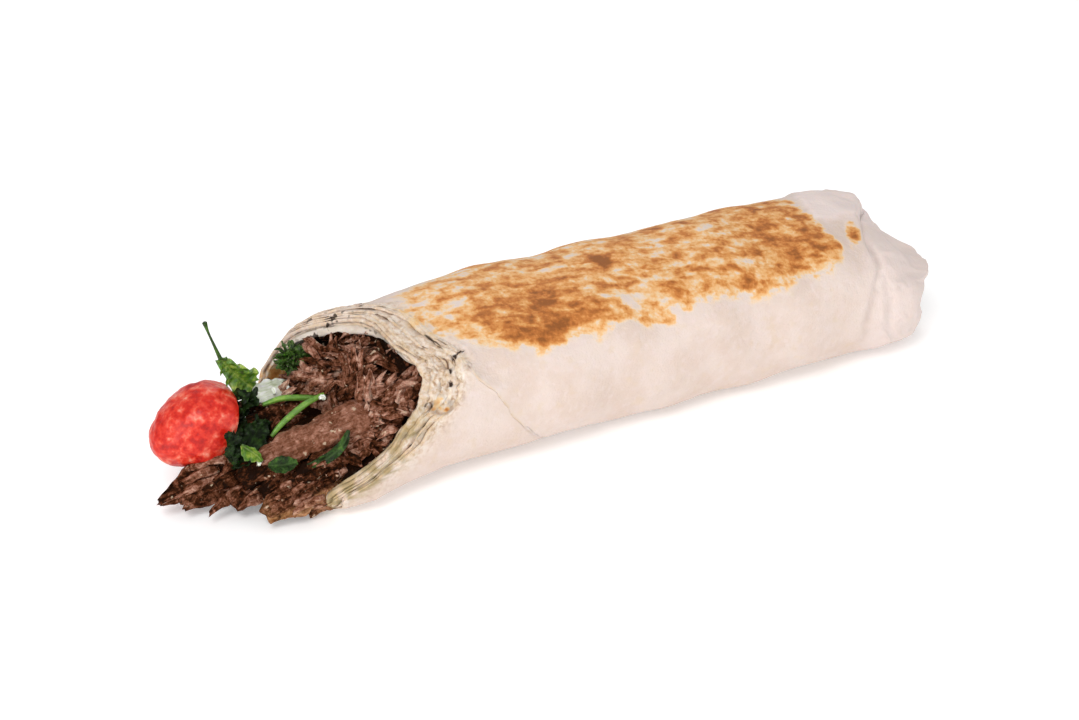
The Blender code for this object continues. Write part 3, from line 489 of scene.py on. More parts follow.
def wrinkledBread():
    # the bread's grid, moved along its normals by a sum of ridges, folds and creases, and its material's marks
    grid, theta, inner, creviceShade, edge, back = breadGrid()
    normals = gridNormals(grid)
    body = (back > 40) & (inner < 0.5) & (back < 150)
    outward = grid[..., 1:] - np.array([0, 25])
    if np.mean(np.sum(outward * normals[..., 1:], axis=-1)[body]) < 0:
        normals = -normals
    turn = np.broadcast_to(theta, back.shape)
    outer = 1 - inner
    x, y, z = np.moveaxis(grid, -1, 0)
    # wrinkles behind the lip: ridges that run along the lip, a few millimetres apart
    ridges = roughNoise(together(back / 1.9, 4.4 * np.cos(turn), 4.4 * np.sin(turn)), 1, 31, 2)
    ridges = 1 - 2 * np.sqrt(ridges**2 + 0.012)
    behindLip = soft((back - 0.5) / 2) * (1 - soft((back - 10) / 12)) * outer
    height = bread["rimWrinkle"] * ridges * behindLip * (0.2 + 0.8 * turnBell(turn, 118, 62))
    crumpled = (1 - soft((back - 9) / 9)) * outer * (0.25 + 0.75 * turnBell(turn, 135, 60))
    height += (0.42 * softNoise(grid, 2.6, 33) + 0.26 * softNoise(grid, 1.3, 34)) * crumpled
    # filling that presses through, and soft blisters
    plain = outer * soft(back / 18)
    height += 0.30 * softNoise(grid, 9, 41) * plain + 0.14 * softNoise(grid, 3.6, 42) * plain
    # folds at the closed end, running towards its tip, stronger on the far side
    folds = roughNoise(together(back / 16, 3.2 * np.cos(turn), 3.2 * np.sin(turn)), 1, 51, 2)
    folds = 1 - 2.4 * np.abs(folds)
    farFold = 1 + 1.3 * soft((y + 4) / 10)
    closing = soft((x - 76) / 12) * outer
    height += bread["tuckFold"] * farFold * (folds - 0.4) * closing * (1 - soft((back - 222) / 12))
    # creases that slant over the near side behind the mouth
    slant = x * 0.55 + z * 0.83
    nearMouth = bell(x, -72, 16) * soft((-y - 20) / 8) * outer
    slanted = softNoise(together(slant / 7, x / 40, 0 * slant), 1, 61)
    height += 0.35 * (1 - 2.5 * np.abs(slanted)) * nearMouth
    # the raised strip on top of the closed end, and the crease that runs down the near side of its cap
    stripSide = soft((x - 69.6 - 0.33 * (y + 4)) / 1.2) * soft((y + 5.2 - 0.6 * np.sin(x / 2.6)) / 0.9)
    strip = stripSide * soft((z - 36) / 4) * outer
    height += 0.75 * strip
    cap = soft((x - 74 - 5 * softNoise(grid, 13, 53)) / 11) * outer
    crease = bell(x, bread["creaseAt"] + 5.6 * soft((z - 27) / 12) + 0.8 * softNoise(grid, 7, 47), 1.5)
    crease = crease * soft((-y - 14) / 8) * soft((z - 8) / 8) * outer
    height += -0.55 * crease
    # the gaps, dented and painted dark as shade, and the knob beside the mouth
    slitShade = np.clip(gapShadeMarks(x, y) * (1 + 0.4 * softNoise(grid, 1.4, 36)), 0, 1)
    slitShade = slitShade * soft((z - 33) / 3) * outer
    knobAway = knobPlace(grid)
    knob = np.exp(-np.clip(knobAway, 0, 50) ** 2) * soft((-y - 20) / 3)
    # painted shade in a ring round the knob's lower edge
    knobRingShade = np.exp(-(((knobAway - 1.3) / 0.7) ** 2))
    (shadeX, shadeZ), (shadeLong, shadeHigh) = bread["knobShadeAt"], bread["knobShadeHalf"]
    knobShade = ovalMark((x - shadeX) / shadeLong, (z - shadeZ) / shadeHigh, 1.5) * soft((-y - 24) / 2)
    # the hollow beside the knob is painted dark as shade too
    slitShade = np.maximum(slitShade, 0.6 * knobShade * outer)
    height += -0.9 * slitShade + (1.5 + 0.5 * softNoise(grid, 1.8, 38)) * knob * outer
    grid = grid + normals * height[..., None]
    grid[..., 2] = np.maximum(grid[..., 2], 0)
    # browning, also on the knob and on the corner that sticks out at the far side
    x, y, z = np.moveaxis(grid, -1, 0)
    away = [((c - at) / half) ** 2 for c, at, half in zip((x, y, z), bread["cornerAt"], bread["cornerHalf"])]
    corner = away[0] + away[1] + away[2]
    toast = griddled(grid, strip, inner) + (0.48 + 0.8 * softNoise(grid, 1.2, 39)) * knob * outer
    toast = toast + (0.40 + 0.4 * softNoise(grid, 2.2, 49)) * np.exp(-(corner**1.5))
    # sauce on the lower lip and soaked into the inside, dark specks under the far lip
    low = 1.5 * turnBell(turn, 232, 46) * (1 - soft((back - 6) / 8))
    low = low + turnBell(turn, 175, 30) * (1 - soft((back - 3) / 4)) * 0.5
    stain = np.clip(low * (0.55 + 1.3 * softNoise(grid, 4, 81) + 0.8 * softNoise(grid, 1.8, 82)), 0, 1)
    soaked = np.clip(0.1 + 0.9 * softNoise(grid, 3.5, 83), 0, 1)
    soaked = soaked * soft((back - 2) / 6) * (1 - soft((back - 14) / 10))
    speck = inner * turnBell(turn, 60, 40) * (1 - soft((back - 9) / 4))
    speck = np.maximum(speck, turnBell(turn, 48, 18) * (1 - soft((back - 3) / 3)))
    # the painted shade under the sheets' edges is broken up, and weak on the lower lip
    brokenUp = np.clip(0.45 + 1.9 * softNoise(grid, 2.6, 45), 0, 1.2)
    creviceShade = creviceShade * brokenUp * (1 - 0.65 * turnBell(turn, 228, 38))
    # the crease on the cap gets painted shade along it as well
    creviceShade = creviceShade + 0.3 * crease * (0.7 + 0.6 * softNoise(grid, 3, 48))
    knobRingShade = knobRingShade * soft((-y - 20) / 3) * soft((33.5 - z) / 2)
    return grid, {
        "toast": toast, "rim": np.clip(1.3 * crumpled, 0, 1),
        "stain": np.maximum(stain, 0.6 * inner * soaked),
        "speck": speck, "gap": slitShade, "creviceShade": np.maximum(creviceShade, 0.8 * knobRingShade * outer), "inner": inner,
        "dryEdge": np.maximum(edge, crumpled * np.clip(0.1 + 1.3 * softNoise(grid, 2.4, 85), 0, 1)),
        "lilac": np.maximum(strip, 0.7 * cap),
    }


def griddledFlatbread():
    # thin wheat flatbread, baked and then browned on a griddle: matt, floury, with streaks of brown on its top
    material, tree, place = newMaterial("griddledFlatbread", {
        "Roughness": 0.62, "Subsurface Weight": 0.12, "Subsurface Radius": (0.004, 0.002, 0.001),
        "Subsurface Scale": 0.6, "Specular IOR Level": 0.35,
    })
    mark = {name: addNode(tree, "Attribute", output=2, attribute_name=name) for name in breadMarks}
    noise = {name: addNode(tree, "TexNoise", {
        "Vector": place, "Scale": 1 / (size * mm), "Detail": detail, "Roughness": rough, "Distortion": twist,
    }) for name, size, detail, rough, twist in (  # sizes in millimetres
        ("tint", 14, 2, 0.55, 0), ("fleck", 2.2, 3, 0.55, 0), ("warmth", 5, 2, 0.55, 0),
        ("inside", 3, 3, 0.55, 0), ("sheets", 2.6, 3, 0.6, 1), ("thinSheets", 1, 2, 0.55, 0),
        ("patches", 5.5, 3, 0.5, 0.3), ("grain", 1.3, 3, 0.65, 0), ("sauce", 2.4, 2, 0.55, 0),
        ("dry", 3, 2, 0.55, 0), ("dots", 2.6, 1, 0.55, 0), ("flour", 0.7, 2, 0.55, 0),
        ("blisters", 3.2, 3, 0.55, 0),
    )}
    shares = {name: addNode(
        tree, "MapRange", (source, *fromTo), interpolation_type="SMOOTHSTEP",
    ) for name, source, *fromTo in (
        ("tint", noise["tint"], 0.35, 0.65, 0, 1), ("fleck", noise["fleck"], 0.45, 0.75, 0, 0.5),
        ("warmth", noise["warmth"], 0.55, 0.75, 0, 0.35), ("dry", noise["dry"], 0.4, 0.65, 0.15, 0.6),
        ("dots", noise["dots"], 0.58, 0.64, 0, 1), ("gap", mark["gap"], 0.3, 0.8, 0, 1),
        ("toast", mark["toast"], 0.02, 0.30, 0, 1),
    )}
    # the rim shows the cut edges of many thin sheets, with painted shade in the darker lines between them
    sheets = weighed(tree, (noise["sheets"], 0.65), (noise["thinSheets"], 0.35))
    sheets = addNode(tree, "ValToRGB", (sheets,), stops=(
        (0.34, "A17855"), (0.66, "FFF6EA"), (0.43, "D4B491"), (0.53, "EEDCCA"),
    ))
    # the inside: its own pale colour, made whiter still as painted light, as little light reaches into the roll
    inside = laidOver(tree, "F0DEC6", (noise["inside"], "FFFAF2"))
    dough = laidOver(
        tree, "E8D6CC", (shares["tint"], "E2CDC0"), (shares["fleck"], "EBDAD5"), (shares["warmth"], "E2CAAC"),
        (mark["lilac"], "F1E0DA"), (mark["inner"], inside), (weighed(tree, (mark["rim"], 0.8)), sheets),
    )
    # browning: blotches 7 mm long and 3 mm wide along the roll, over rounder ones
    slanted = addNode(tree, "Mapping", {
        "Vector": place, "Rotation": (0, 0, math.radians(-14)), "Scale": (0.0075, 0.0032, 0.005),
    }, vector_type="TEXTURE")
    streaks = addNode(tree, "TexNoise", {
        "Vector": slanted, "Scale": 1, "Detail": 2.5, "Roughness": 0.5, "Distortion": 0.4,
    })
    uneven = weighed(tree, (streaks, 1.25), (noise["patches"], 1.35), (noise["grain"], 0.6), less=1.60)
    browning = weighed(tree, (mark["toast"], 1), (weighed(tree, (uneven, shares["toast"])), 1))
    browned = addNode(tree, "ValToRGB", (browning,), stops=(
        (0.12, "F3E0CF"), (1, "985820"), (0.28, "F4D0A2"), (0.42, "F1B97A"), (0.56, "E39E56"),
        (0.72, "CC7D38"), (0.86, "B3692A"),
    ))
    brownShare = addNode(tree, "MapRange", (browning, 0.05, 0.32, 0, 1), interpolation_type="SMOOTHSTEP")
    # sauce soaked into the lip, dry edges of the sheets, painted shade between them, and dark dots, of specks
    # and of painted shade in the gaps
    dots = weighed(tree, (mark["speck"], shares["dots"]))
    dots = addNode(tree, "Math", (dots, shares["gap"]), operation="MAXIMUM")
    colour = laidOver(
        tree, dough, (brownShare, browned),
        (weighed(tree, (mark["stain"], 0.8)), laidOver(tree, "A88C50", (noise["sauce"], "7C743C"))),
        (weighed(tree, (mark["dryEdge"], shares["dry"])), "D9B98F"),
        (weighed(tree, (mark["creviceShade"], 0.75)), "76543A"), (dots, "332013"),
    )
    height = weighed(tree, (noise["flour"], 0.35), (noise["blisters"], 1))
    return finishMaterial(material, colour, height, 0.55, 0.0006)


breadPoints, breadMarks = wrinkledBread()
makePiece("flatbreadRoll", [(breadPoints, breadMarks)], griddledFlatbread(), ["bread_wrap"])


# shaved meat

meat = {
    "mouthMiddle": (-107, -1, 27),
    "moundAt": (-120.5, -1, 9.2),
    "moundHalf": (29.5, 19, 14),
    "play": 0.6,  # clearance between the filling and the bread
    "farStep": 8,  # how much further in the filling starts at the far wall
    "nearStep": 7,  # and at the near side, low down
    "seed": 7,
    "strandWidth": 3.3,  # how wide the strands are that a slice tears into
    "scrapStrandWidth": 1.9,
    "shreds": 2,  # finer strands on each slice
    "scraps": 110,
    "lipScraps": 100,
}

parsley = {"at": (-115.9, 14, 33.6), "half": (6.6, 5.4, 4.2), "leaflets": 110, "seed": 3}

# slices that hang out of the mouth or lie on the mound: what each number of a row is, the rows, and extras
sliceKeys = ("start", "end", "width", "thick", "face", "bow", "curl", "phase", "tip", "tone")
slices = {
    "farTip": ((-124, -1, 16), (-168.5, -2.5, 5.6), 14, 4.4, (-0.2, -0.75, 0.65), 1, 0.1, 0.83, 0.08, 0.38),
    "farLow": ((-140, 0.5, 8.5), (-162.6, -4, 4.8), 8, 3.4, (-0.2, -0.75, 0.65), 0.6, 0.1, 2.1, 0.4, 0.42),
    "thinTip": ((-138, -7, 10), (-156.8, -11.4, 4.2), 3.2, 2, (-0.3, -0.7, 0.7), 0.5, 0, 1.2, 0.5, 0.45),
    "shortTip": ((-129, -9.5, 13), (-149.8, -12, 4.8), 7, 3, (-0.3, -0.7, 0.7), 0.6, 0.1, 2, 0.6, 0.5),
    "nearTip": ((-112, -16, 15.5), (-143.2, -22.6, 4.8), 12, 4, (-0.2, -0.8, 0.6), 1, 0.12, 0.2, 0.4, 0.4),
    "nearLow": ((-110, -17, 10), (-135, -21.5, 4.2), 9, 3.2, (-0.2, -0.6, 0.8), 0.4, 0.1, 2.6, 0.6, 0.4),
    "top": ((-106.5, -15, 26.5), (-140, -11.3, 17.4), 10, 5.4, (-0.25, -0.6, 0.8), 1.6, -0.25, 0.4, 0.35, 0.5),
    "right": ((-90, -18, 29), (-103, -19.5, 34), 9, 2.6, (-0.5, -0.8, 0.3), 0.8, 0.12, 1.6, 0.6, 0.6),
    "sideA": ((-95, -18, 26), (-119, -20, 16.5), 8, 2.4, (-0.3, -0.8, 0.5), 0.8, 0.12, 0.9, 0.5, 0.5),
    "sideB": ((-100, -19, 18), (-127, -21, 9), 9, 2.4, (-0.3, -0.8, 0.5), 0.8, 0.1, 2.2, 0.5, 0.15),
    "sideC": ((-104, -16, 21), (-134, -19.5, 11.5), 8, 2.4, (-0.3, -0.7, 0.7), 0.8, 0.14, 3.4, 0.5, 0.05),
    "mid": ((-116, -8, 20), (-147, -12, 12.5), 11, 2.8, (-0.3, -0.7, 0.7), 0.8, 0.1, 4.4, 0.5, 0),
    "farA": ((-106, 15, 20), (-135, 18.5, 9), 11, 2.8, (-0.3, 0.5, 0.8), 1, 0.12, 1, 0.5, 0.4),
    "farB": ((-108, 17, 10), (-141, 16, 4.5), 10, 2.8, (-0.3, 0.6, 0.7), 1, 0.1, 3, 0.5, 0.3),
    "lipA": ((-99, -20.5, 21), (-113.5, -22, 11.5), 6, 2.2, (-0.5, -0.8, 0.5), 0.8, 0.1, 0.4, 0.8, 0.8),
    "lipB": ((-106, -21, 15.5), (-122, -22.4, 7.8), 6, 2.2, (-0.5, -0.8, 0.5), 0.8, 0.1, 1.9, 0.8, 0.9),
    "gapB": ((-117, 4, 21), (-138, 1, 21.6), 8, 3, (-0.35, -0.45, 0.8), 1, 0.1, 1.1, 0.7, 0.1),
    "farC": ((-112, 9.5, 22), (-138.5, 10.5, 21.8), 9, 2.8, (-0.3, -0.2, 0.9), 0.4, 0.1, 4.1, 0.6, 0.2),
    "gap": ((-116, 6, 19), (-139, 3.5, 18.5), 13, 3.4, (-0.35, -0.45, 0.8), 1, 0.1, 2.8, 0.6, 0.1),
    "frontA": ((-126, 5, 13), (-157, 7.5, 5), 12, 3, (-0.4, 0.1, 0.9), 1, 0.12, 2, 0.5, 0.35),
    "frontB": ((-122, 10, 17), (-146, 14.5, 8), 9, 2.8, (-0.4, 0.3, 0.8), 1, -0.1, 5, 0.5, 0.45),
    "midB": ((-122, -3, 18), (-153, -7, 10.5), 9, 2.6, (-0.3, -0.6, 0.75), 0.8, 0.12, 1.7, 0.5, 0.2),
    "midC": ((-122, -12, 14), (-142, -16, 8.5), 7, 2.4, (-0.3, -0.7, 0.7), 0.8, 0.12, 3.9, 0.5, 0.05),
    "midD": ((-120, -13.5, 11), (-140, -17.5, 7.4), 8, 2.6, (-0.3, -0.7, 0.7), 0.6, 0.1, 0.7, 0.5, 0.35),
    "low": ((-113, -18.5, 8), (-130, -22, 4), 8, 2.8, (-0.2, -0.7, 0.7), 0.4, 0.1, 5.1, 0.5, 0.7),
}
sliceExtras = {
    "farTip": {"taper": 0.4}, "farLow": {"taper": 0.6}, "nearTip": {"crisp": 0.8}, "nearLow": {"crisp": 0.45},
    "top": {"whole": True, "calm": 0.4}, "low": {"crisp": 0.6},
}
slices = {name: dict(zip(sliceKeys, row), **sliceExtras.get(name, {})) for name, row in slices.items()}


def sliceSpine(piece, t):
    # the slice's middle line, its sideways direction and its facing, at shares t of its length
    start, end = np.array(piece["start"], float), np.array(piece["end"], float)
    along = unit(end - start)
    face = np.array(piece["face"], float)
    face = unit(face - along * np.dot(face, along))
    across = np.cross(face, along)
    wave = 0.10 * piece["width"] * np.sin(5.5 * t + piece["phase"])
    lift = piece["bow"] * 4 * t * (1 - t) + wave
    sway = 0.08 * piece["width"] * np.sin(4 * t + 2 * piece["phase"])
    middle = start + (end - start) * t[:, None] + face * lift[:, None] + across * sway[:, None]
    return middle, across, face


def shavedSlice(piece, rows=26, columns=24):
    # a rounded section carried along a waving line: a torn tip, edges that curl, and fibres that run along it
    # a strand is the same thing over its own share of a slice's width, and thins at both of its ends
    share, at, strand = piece.get("share", 1), piece.get("at", 0), "share" in piece
    s = np.linspace(0, 1, rows)
    t = piece.get("first", 0) * (1 - s) + piece.get("last", 1) * s
    middle, across, face = sliceSpine(piece, t)
    along = unit(np.subtract(piece["end"], piece["start"]))
    length = np.linalg.norm(np.subtract(piece["end"], piece["start"]))
    angles = np.linspace(0, 2 * np.pi, columns, endpoint=False)
    boxy = 0.85 if strand else 0.6
    u = np.sign(np.cos(angles)) * np.abs(np.cos(angles)) ** boxy
    v = np.sign(np.sin(angles)) * np.abs(np.sin(angles)) ** boxy
    code = piece.get("code", piece["phase"] * 137)
    taper = piece.get("taper", 0.5)
    narrow = 1 - (1 - piece["tip"]) * np.clip((t - taper) / (1.04 - taper), 0, 1) ** 1.6
    whole = piece["width"] / 2 * narrow * (1 + piece.get("waist", 0.1) * np.sin(9 * t + piece["phase"]))
    ends = soft(s / 0.2) * soft((1 - s) / 0.25) if strand else 1 + 0 * s
    line = together(t * length / 5, 0 * t + code, 0 * t)
    swerve = (0.9 * softNoise(line, 1, 87) if strand else 0 * t)[:, None]
    rise = piece.get("rise", 0) + (0.8 * softNoise(line, 1, 88) if strand else 0 * t)[:, None]
    place = together(t[:, None] * length / 3, u * piece["width"] * share / 3, code + 0 * u)
    blunt = piece.get("blunt", 0.2)
    half = (whole * share * (blunt + (1 - blunt) * ends))[:, None] * (1 + 0.26 * roughNoise(place, 1, 91))
    thin = piece["thick"] / 2 * (1 - 0.35 * soft((t - 0.6) / 0.4)) * (0.45 + 0.55 * ends)
    thin = thin[:, None] * (1 + 0.35 * roughNoise(place, 1.4, 93))
    turn = 0.7 * softNoise(line, 1.3, 89)[:, None] if strand else 0
    sideways = half * u * np.cos(turn) - thin * v * np.sin(turn) + whole[:, None] * at + swerve
    upwards = half * u * np.sin(turn) + thin * v * np.cos(turn) + rise
    bend = piece["curl"] * whole[:, None] * ((sideways / whole[:, None]) ** 2 - 0.5)
    fibrePlace = together(t[:, None] * length / 5, u * half / 0.9, code + 0.3 * v)
    lumps = together(t[:, None] * length / 2.2, u * half / 1.8, code + 0.8 * v)
    calm = piece.get("calm", 0)  # how smooth and even the slice is
    relief = (0.22 * roughNoise(fibrePlace, 1, 95, 2) + 0.28 * softNoise(lumps, 1, 96)) * (1 - 0.5 * calm)
    upwards = upwards + bend + relief * v
    torn = (soft((s - 0.8) / 0.2)[:, None] - soft((0.2 - s) / 0.2)[:, None]) * (0.7 + 2.6 * blunt)
    torn = torn * roughNoise(place, 0.7, 97, 2)
    grid = middle[:, None] + across * sideways[..., None] + face * upwards[..., None] + along * torn[..., None]
    grid[..., 2] = np.maximum(grid[..., 2], 0.1 + 0.15 * np.abs(v))
    fibre = together(t[:, None] * length, u * half, code + 0.4 * piece["thick"] * v)
    edge = np.clip(np.abs(sideways) / whole[:, None], 0, 1)
    crisp = soft((edge - 0.4) / 0.4) * (sideways > 0) + 0.25 * soft((t[:, None] - 0.85) / 0.15)
    crisp = piece.get("crisp", 0) * np.clip(crisp, 0, 1)
    return grid, {"fibre": fibre, "tone": piece["tone"], "crisp": crisp, "calm": calm}


def strandsOf(piece, chance, width):
    # the strands that a slice tears into, side by side, each with its own ends, height and tone
    count = max(1, int(round(piece["width"] / width)))
    return [dict(
        piece, share=1.3 / count, at=(2 * number + 1) / count - 1 + chance.uniform(-0.25, 0.25) / count,
        first=chance.uniform(-0.04, 0.12), last=chance.uniform(0.80, 1), rise=chance.uniform(-0.7, 0.8),
        tone=piece["tone"] + chance.uniform(-0.18, 0.18), thick=piece["thick"] * chance.uniform(0.6, 1.05),
        code=chance.uniform(0, 900),
    ) for number in range(count)]


def shredsOn(piece, chance, count):
    # thinner strands that lie on a slice's face, a little turned from its own direction
    made = []
    for _ in range(count):
        t = np.array([chance.uniform(0.02, 0.6)])
        middle, across, face = sliceSpine(piece, t)
        along = unit(np.subtract(piece["end"], piece["start"]))
        length = np.linalg.norm(np.subtract(piece["end"], piece["start"]))
        start = middle[0] + across * piece["width"] * chance.uniform(-0.42, 0.42) + face * piece["thick"] * 0.42
        turn = chance.uniform(-0.35, 0.35)
        reach = min(length * chance.uniform(0.25, 0.45), 11)
        end = start + (along * math.cos(turn) + across * math.sin(turn)) * reach
        end = end + face * chance.uniform(-1.2, 0.6)
        made.append(dict(
            start=start, end=end, width=chance.uniform(1.8, 4.2), thick=chance.uniform(0.9, 1.8),
            face=face + across * chance.uniform(-0.5, 0.5), bow=chance.uniform(0.2, 1.6),
            curl=chance.uniform(-0.2, 0.3), phase=chance.uniform(0, 6), tip=chance.uniform(0.3, 0.8),
            tone=piece["tone"] + chance.uniform(-0.2, 0.25), crisp=piece.get("crisp", 0) * 0.5,
        ))
    return made


def mouthSlices(chance):
    # rows of short slices across the mouth, each turned and tipped a little by chance
    made = []
    for row, height in enumerate((15, 21, 27, 32.5, 37)):
        for column, side in enumerate((-15, -5.5, 4.5, 13.5)):
            y = side + chance.uniform(-1.5, 1.5) + (2 if row % 2 else -2)
            z = height + chance.uniform(-1.5, 1.5)
            front = -111 + 0.35 * (z - 25) - 0.42 * y
            reach = chance.uniform(1, 7)
            sway = chance.uniform(-5, 5)
            end = (front - reach, y + sway, z + chance.uniform(-3, 2))
            face = (-0.4, chance.uniform(-0.9, 0.6), chance.uniform(0.2, 1))
            piece = dict(
                start=(front + 12, y * 0.9, z - 1), end=end, face=face, width=chance.uniform(8, 12),
                thick=chance.uniform(2, 3), phase=chance.uniform(0, 6), curl=chance.uniform(-0.2, 0.2),
                bow=0.8, tip=0.6, tone=0.45 + 0.35 * chance.uniform(-1, 1), blunt=0.5,
            )
            if column in (1, 2) or row < 3 or (row == 3 and column == 0):
                made.append(piece)
    return made


def mouthScraps(chance, count):
    # chopped scraps that cover the face of the filling, lying across it every way, but not over the top slice
    made = []
    outOfMouth = unit((-0.82, -0.44, 0.35))
    topLine, seenAlong = sliceSpine(slices["top"], np.linspace(0.34, 1, 12))[0], unit((-0.38, -0.78, 0.5))
    for _ in range(count):
        angle, reach = chance.uniform(0, 2 * np.pi), math.sqrt(chance.uniform(0, 1)) * 0.86
        y, z = -1.5 + 21.5 * reach * math.cos(angle), 27.5 + 14.6 * reach * math.sin(angle)
        x = -112.5 + 0.35 * (z - 25) - 0.42 * y + 2.5 * math.sin(5 * angle)
        swing = chance.normal(2.45, 0.5) if chance.uniform() < 0.7 else chance.uniform(0, np.pi)
        sideways = unit(np.cross(outOfMouth, (0, 0, 1)))
        upward = np.cross(sideways, outOfMouth)
        along = sideways * math.cos(swing) * 1.2 + upward * math.sin(swing) * 0.8
        along = along + outOfMouth * chance.uniform(-0.2, 0.5)
        length = chance.uniform(7, 16)
        middle = np.array([x, y, z]) + outOfMouth * chance.uniform(-1.5, 2)
        byTheTuft = np.linalg.norm((middle - np.array(parsley["at"]))[1:] / (8.5, 6.5)) < 1
        away = topLine - middle
        overTop = np.linalg.norm(away - seenAlong * (away @ seenAlong)[:, None], axis=-1).min() < 6.4
        if overTop or byTheTuft or middle[1] > 15 and middle[2] < 33:  # the slice, the tuft or the wall shows
            continue
        made.append(dict(
            start=middle - unit(along) * length / 2, end=middle + unit(along) * length / 2,
            width=chance.uniform(2.6, 5.6), thick=chance.uniform(1.3, 2.4),
            face=outOfMouth + chance.uniform(-0.6, 0.6, 3), bow=chance.uniform(0.2, 1.6),
            curl=chance.uniform(-0.3, 0.3), phase=chance.uniform(0, 6), tip=chance.uniform(0.75, 1),
            tone=0.5 + 0.32 * chance.uniform(-1, 1), blunt=0.65,
        ))
    return made


def lipScraps(chance, count):
    # small scraps packed along the near and upper lip, where the filling meets the bread
    made = []
    for _ in range(count):
        theta = math.radians(chance.uniform(35, 262))
        turned = np.array([theta, theta + 0.05])
        lipX = rimLine(turned) + 0.5 + meat["farStep"] * turnBell(turned, 35, 50)
        lip = rollSection(lipX, turned, bread["wall"] + 1.6)
        along = unit(lip[1] - lip[0])
        inwards = np.array(meat["mouthMiddle"]) - lip[0]
        middle = lip[0] + inwards * chance.uniform(0.02, 0.30) + np.array([chance.uniform(-2, 1), 0, 0])
        direction = along * chance.uniform(-1, 1) + np.array([-0.8, 0, -0.25])
        direction = unit(direction + unit(inwards) * chance.uniform(-0.5, 0.5))
        length = chance.uniform(4, 8)
        made.append(dict(
            start=middle - direction * length * 0.6, end=middle + direction * length * 0.4,
            width=chance.uniform(2.4, 4.6), thick=chance.uniform(1, 2),
            face=(-0.6, -0.4, 0.5) + chance.uniform(-0.6, 0.6, 3), bow=chance.uniform(0.1, 0.9),
            curl=chance.uniform(-0.3, 0.3), phase=chance.uniform(0, 6),
            tip=chance.uniform(0.6, 1), tone=0.45 + 0.35 * chance.uniform(-1, 1), blunt=0.5,
        ))
    return made


def fillingCore():
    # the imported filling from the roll's blind end to a domed, lumpy face at the mouth
    theta = np.linspace(0, 2 * np.pi, 96, endpoint=False)
    end, rim, inset = bread["cavityEnd"], rimLine(theta), bread["wall"] + meat["play"]
    rows = []
    for phi in np.radians([75, 50, 25]):
        ring = rollSection(end + 0 * theta, theta, inset)
        middle = ring.mean(axis=0)
        ring[:, 1:] = middle[1:] + (ring[:, 1:] - middle[1:]) * math.cos(phi) ** 0.6
        ring[:, 0] = end + (bread["cavityCap"] - meat["play"]) * math.sin(phi)
        rows.append(ring)
    face = rim + 1 + meat["farStep"] * turnBell(theta, 22, 58) + meat["nearStep"] * turnBell(theta, 200, 42)
    for share in np.concatenate([np.linspace(1, 0.2, 8), np.linspace(0.17, 0, 8)]):
        rows.append(rollSection(face * (1 - share) + end * share, theta, inset))
    lip = rows[-1]
    for share in np.linspace(0.95, 0.05, 16):
        ring = np.array(meat["mouthMiddle"]) + (lip - np.array(meat["mouthMiddle"])) * share
        ring[:, 0] += 2.5 * np.sin(3 * theta) * share + 1.8 * roughNoise(ring, 5, 101)
        rows.append(ring)
    return np.array(rows)


def ballGrid(gap, rows, columns):  # a ball of radius 1 about X, left open by a small angle at its poles
    polar = np.linspace(gap, np.pi - gap, rows)[:, None]
    turn = np.linspace(0, 2 * np.pi, columns, endpoint=False)[None, :]
    return together(np.cos(polar), np.sin(polar) * np.cos(turn), np.sin(polar) * np.sin(turn))


def mound():
    # the heap in front of the mouth: a lumpy ball, flat where it meets the table
    ball = ballGrid(0.06, 40, 72)
    size = 0.94 + 0.06 * roughNoise(ball * 10, 6, 103) + 0.03 * roughNoise(ball * 30, 4, 104)
    grid = np.array(meat["moundAt"]) + ball * np.array(meat["moundHalf"]) * size[..., None]
    grid[..., 2] = np.maximum(grid[..., 2], 0.2)
    return grid


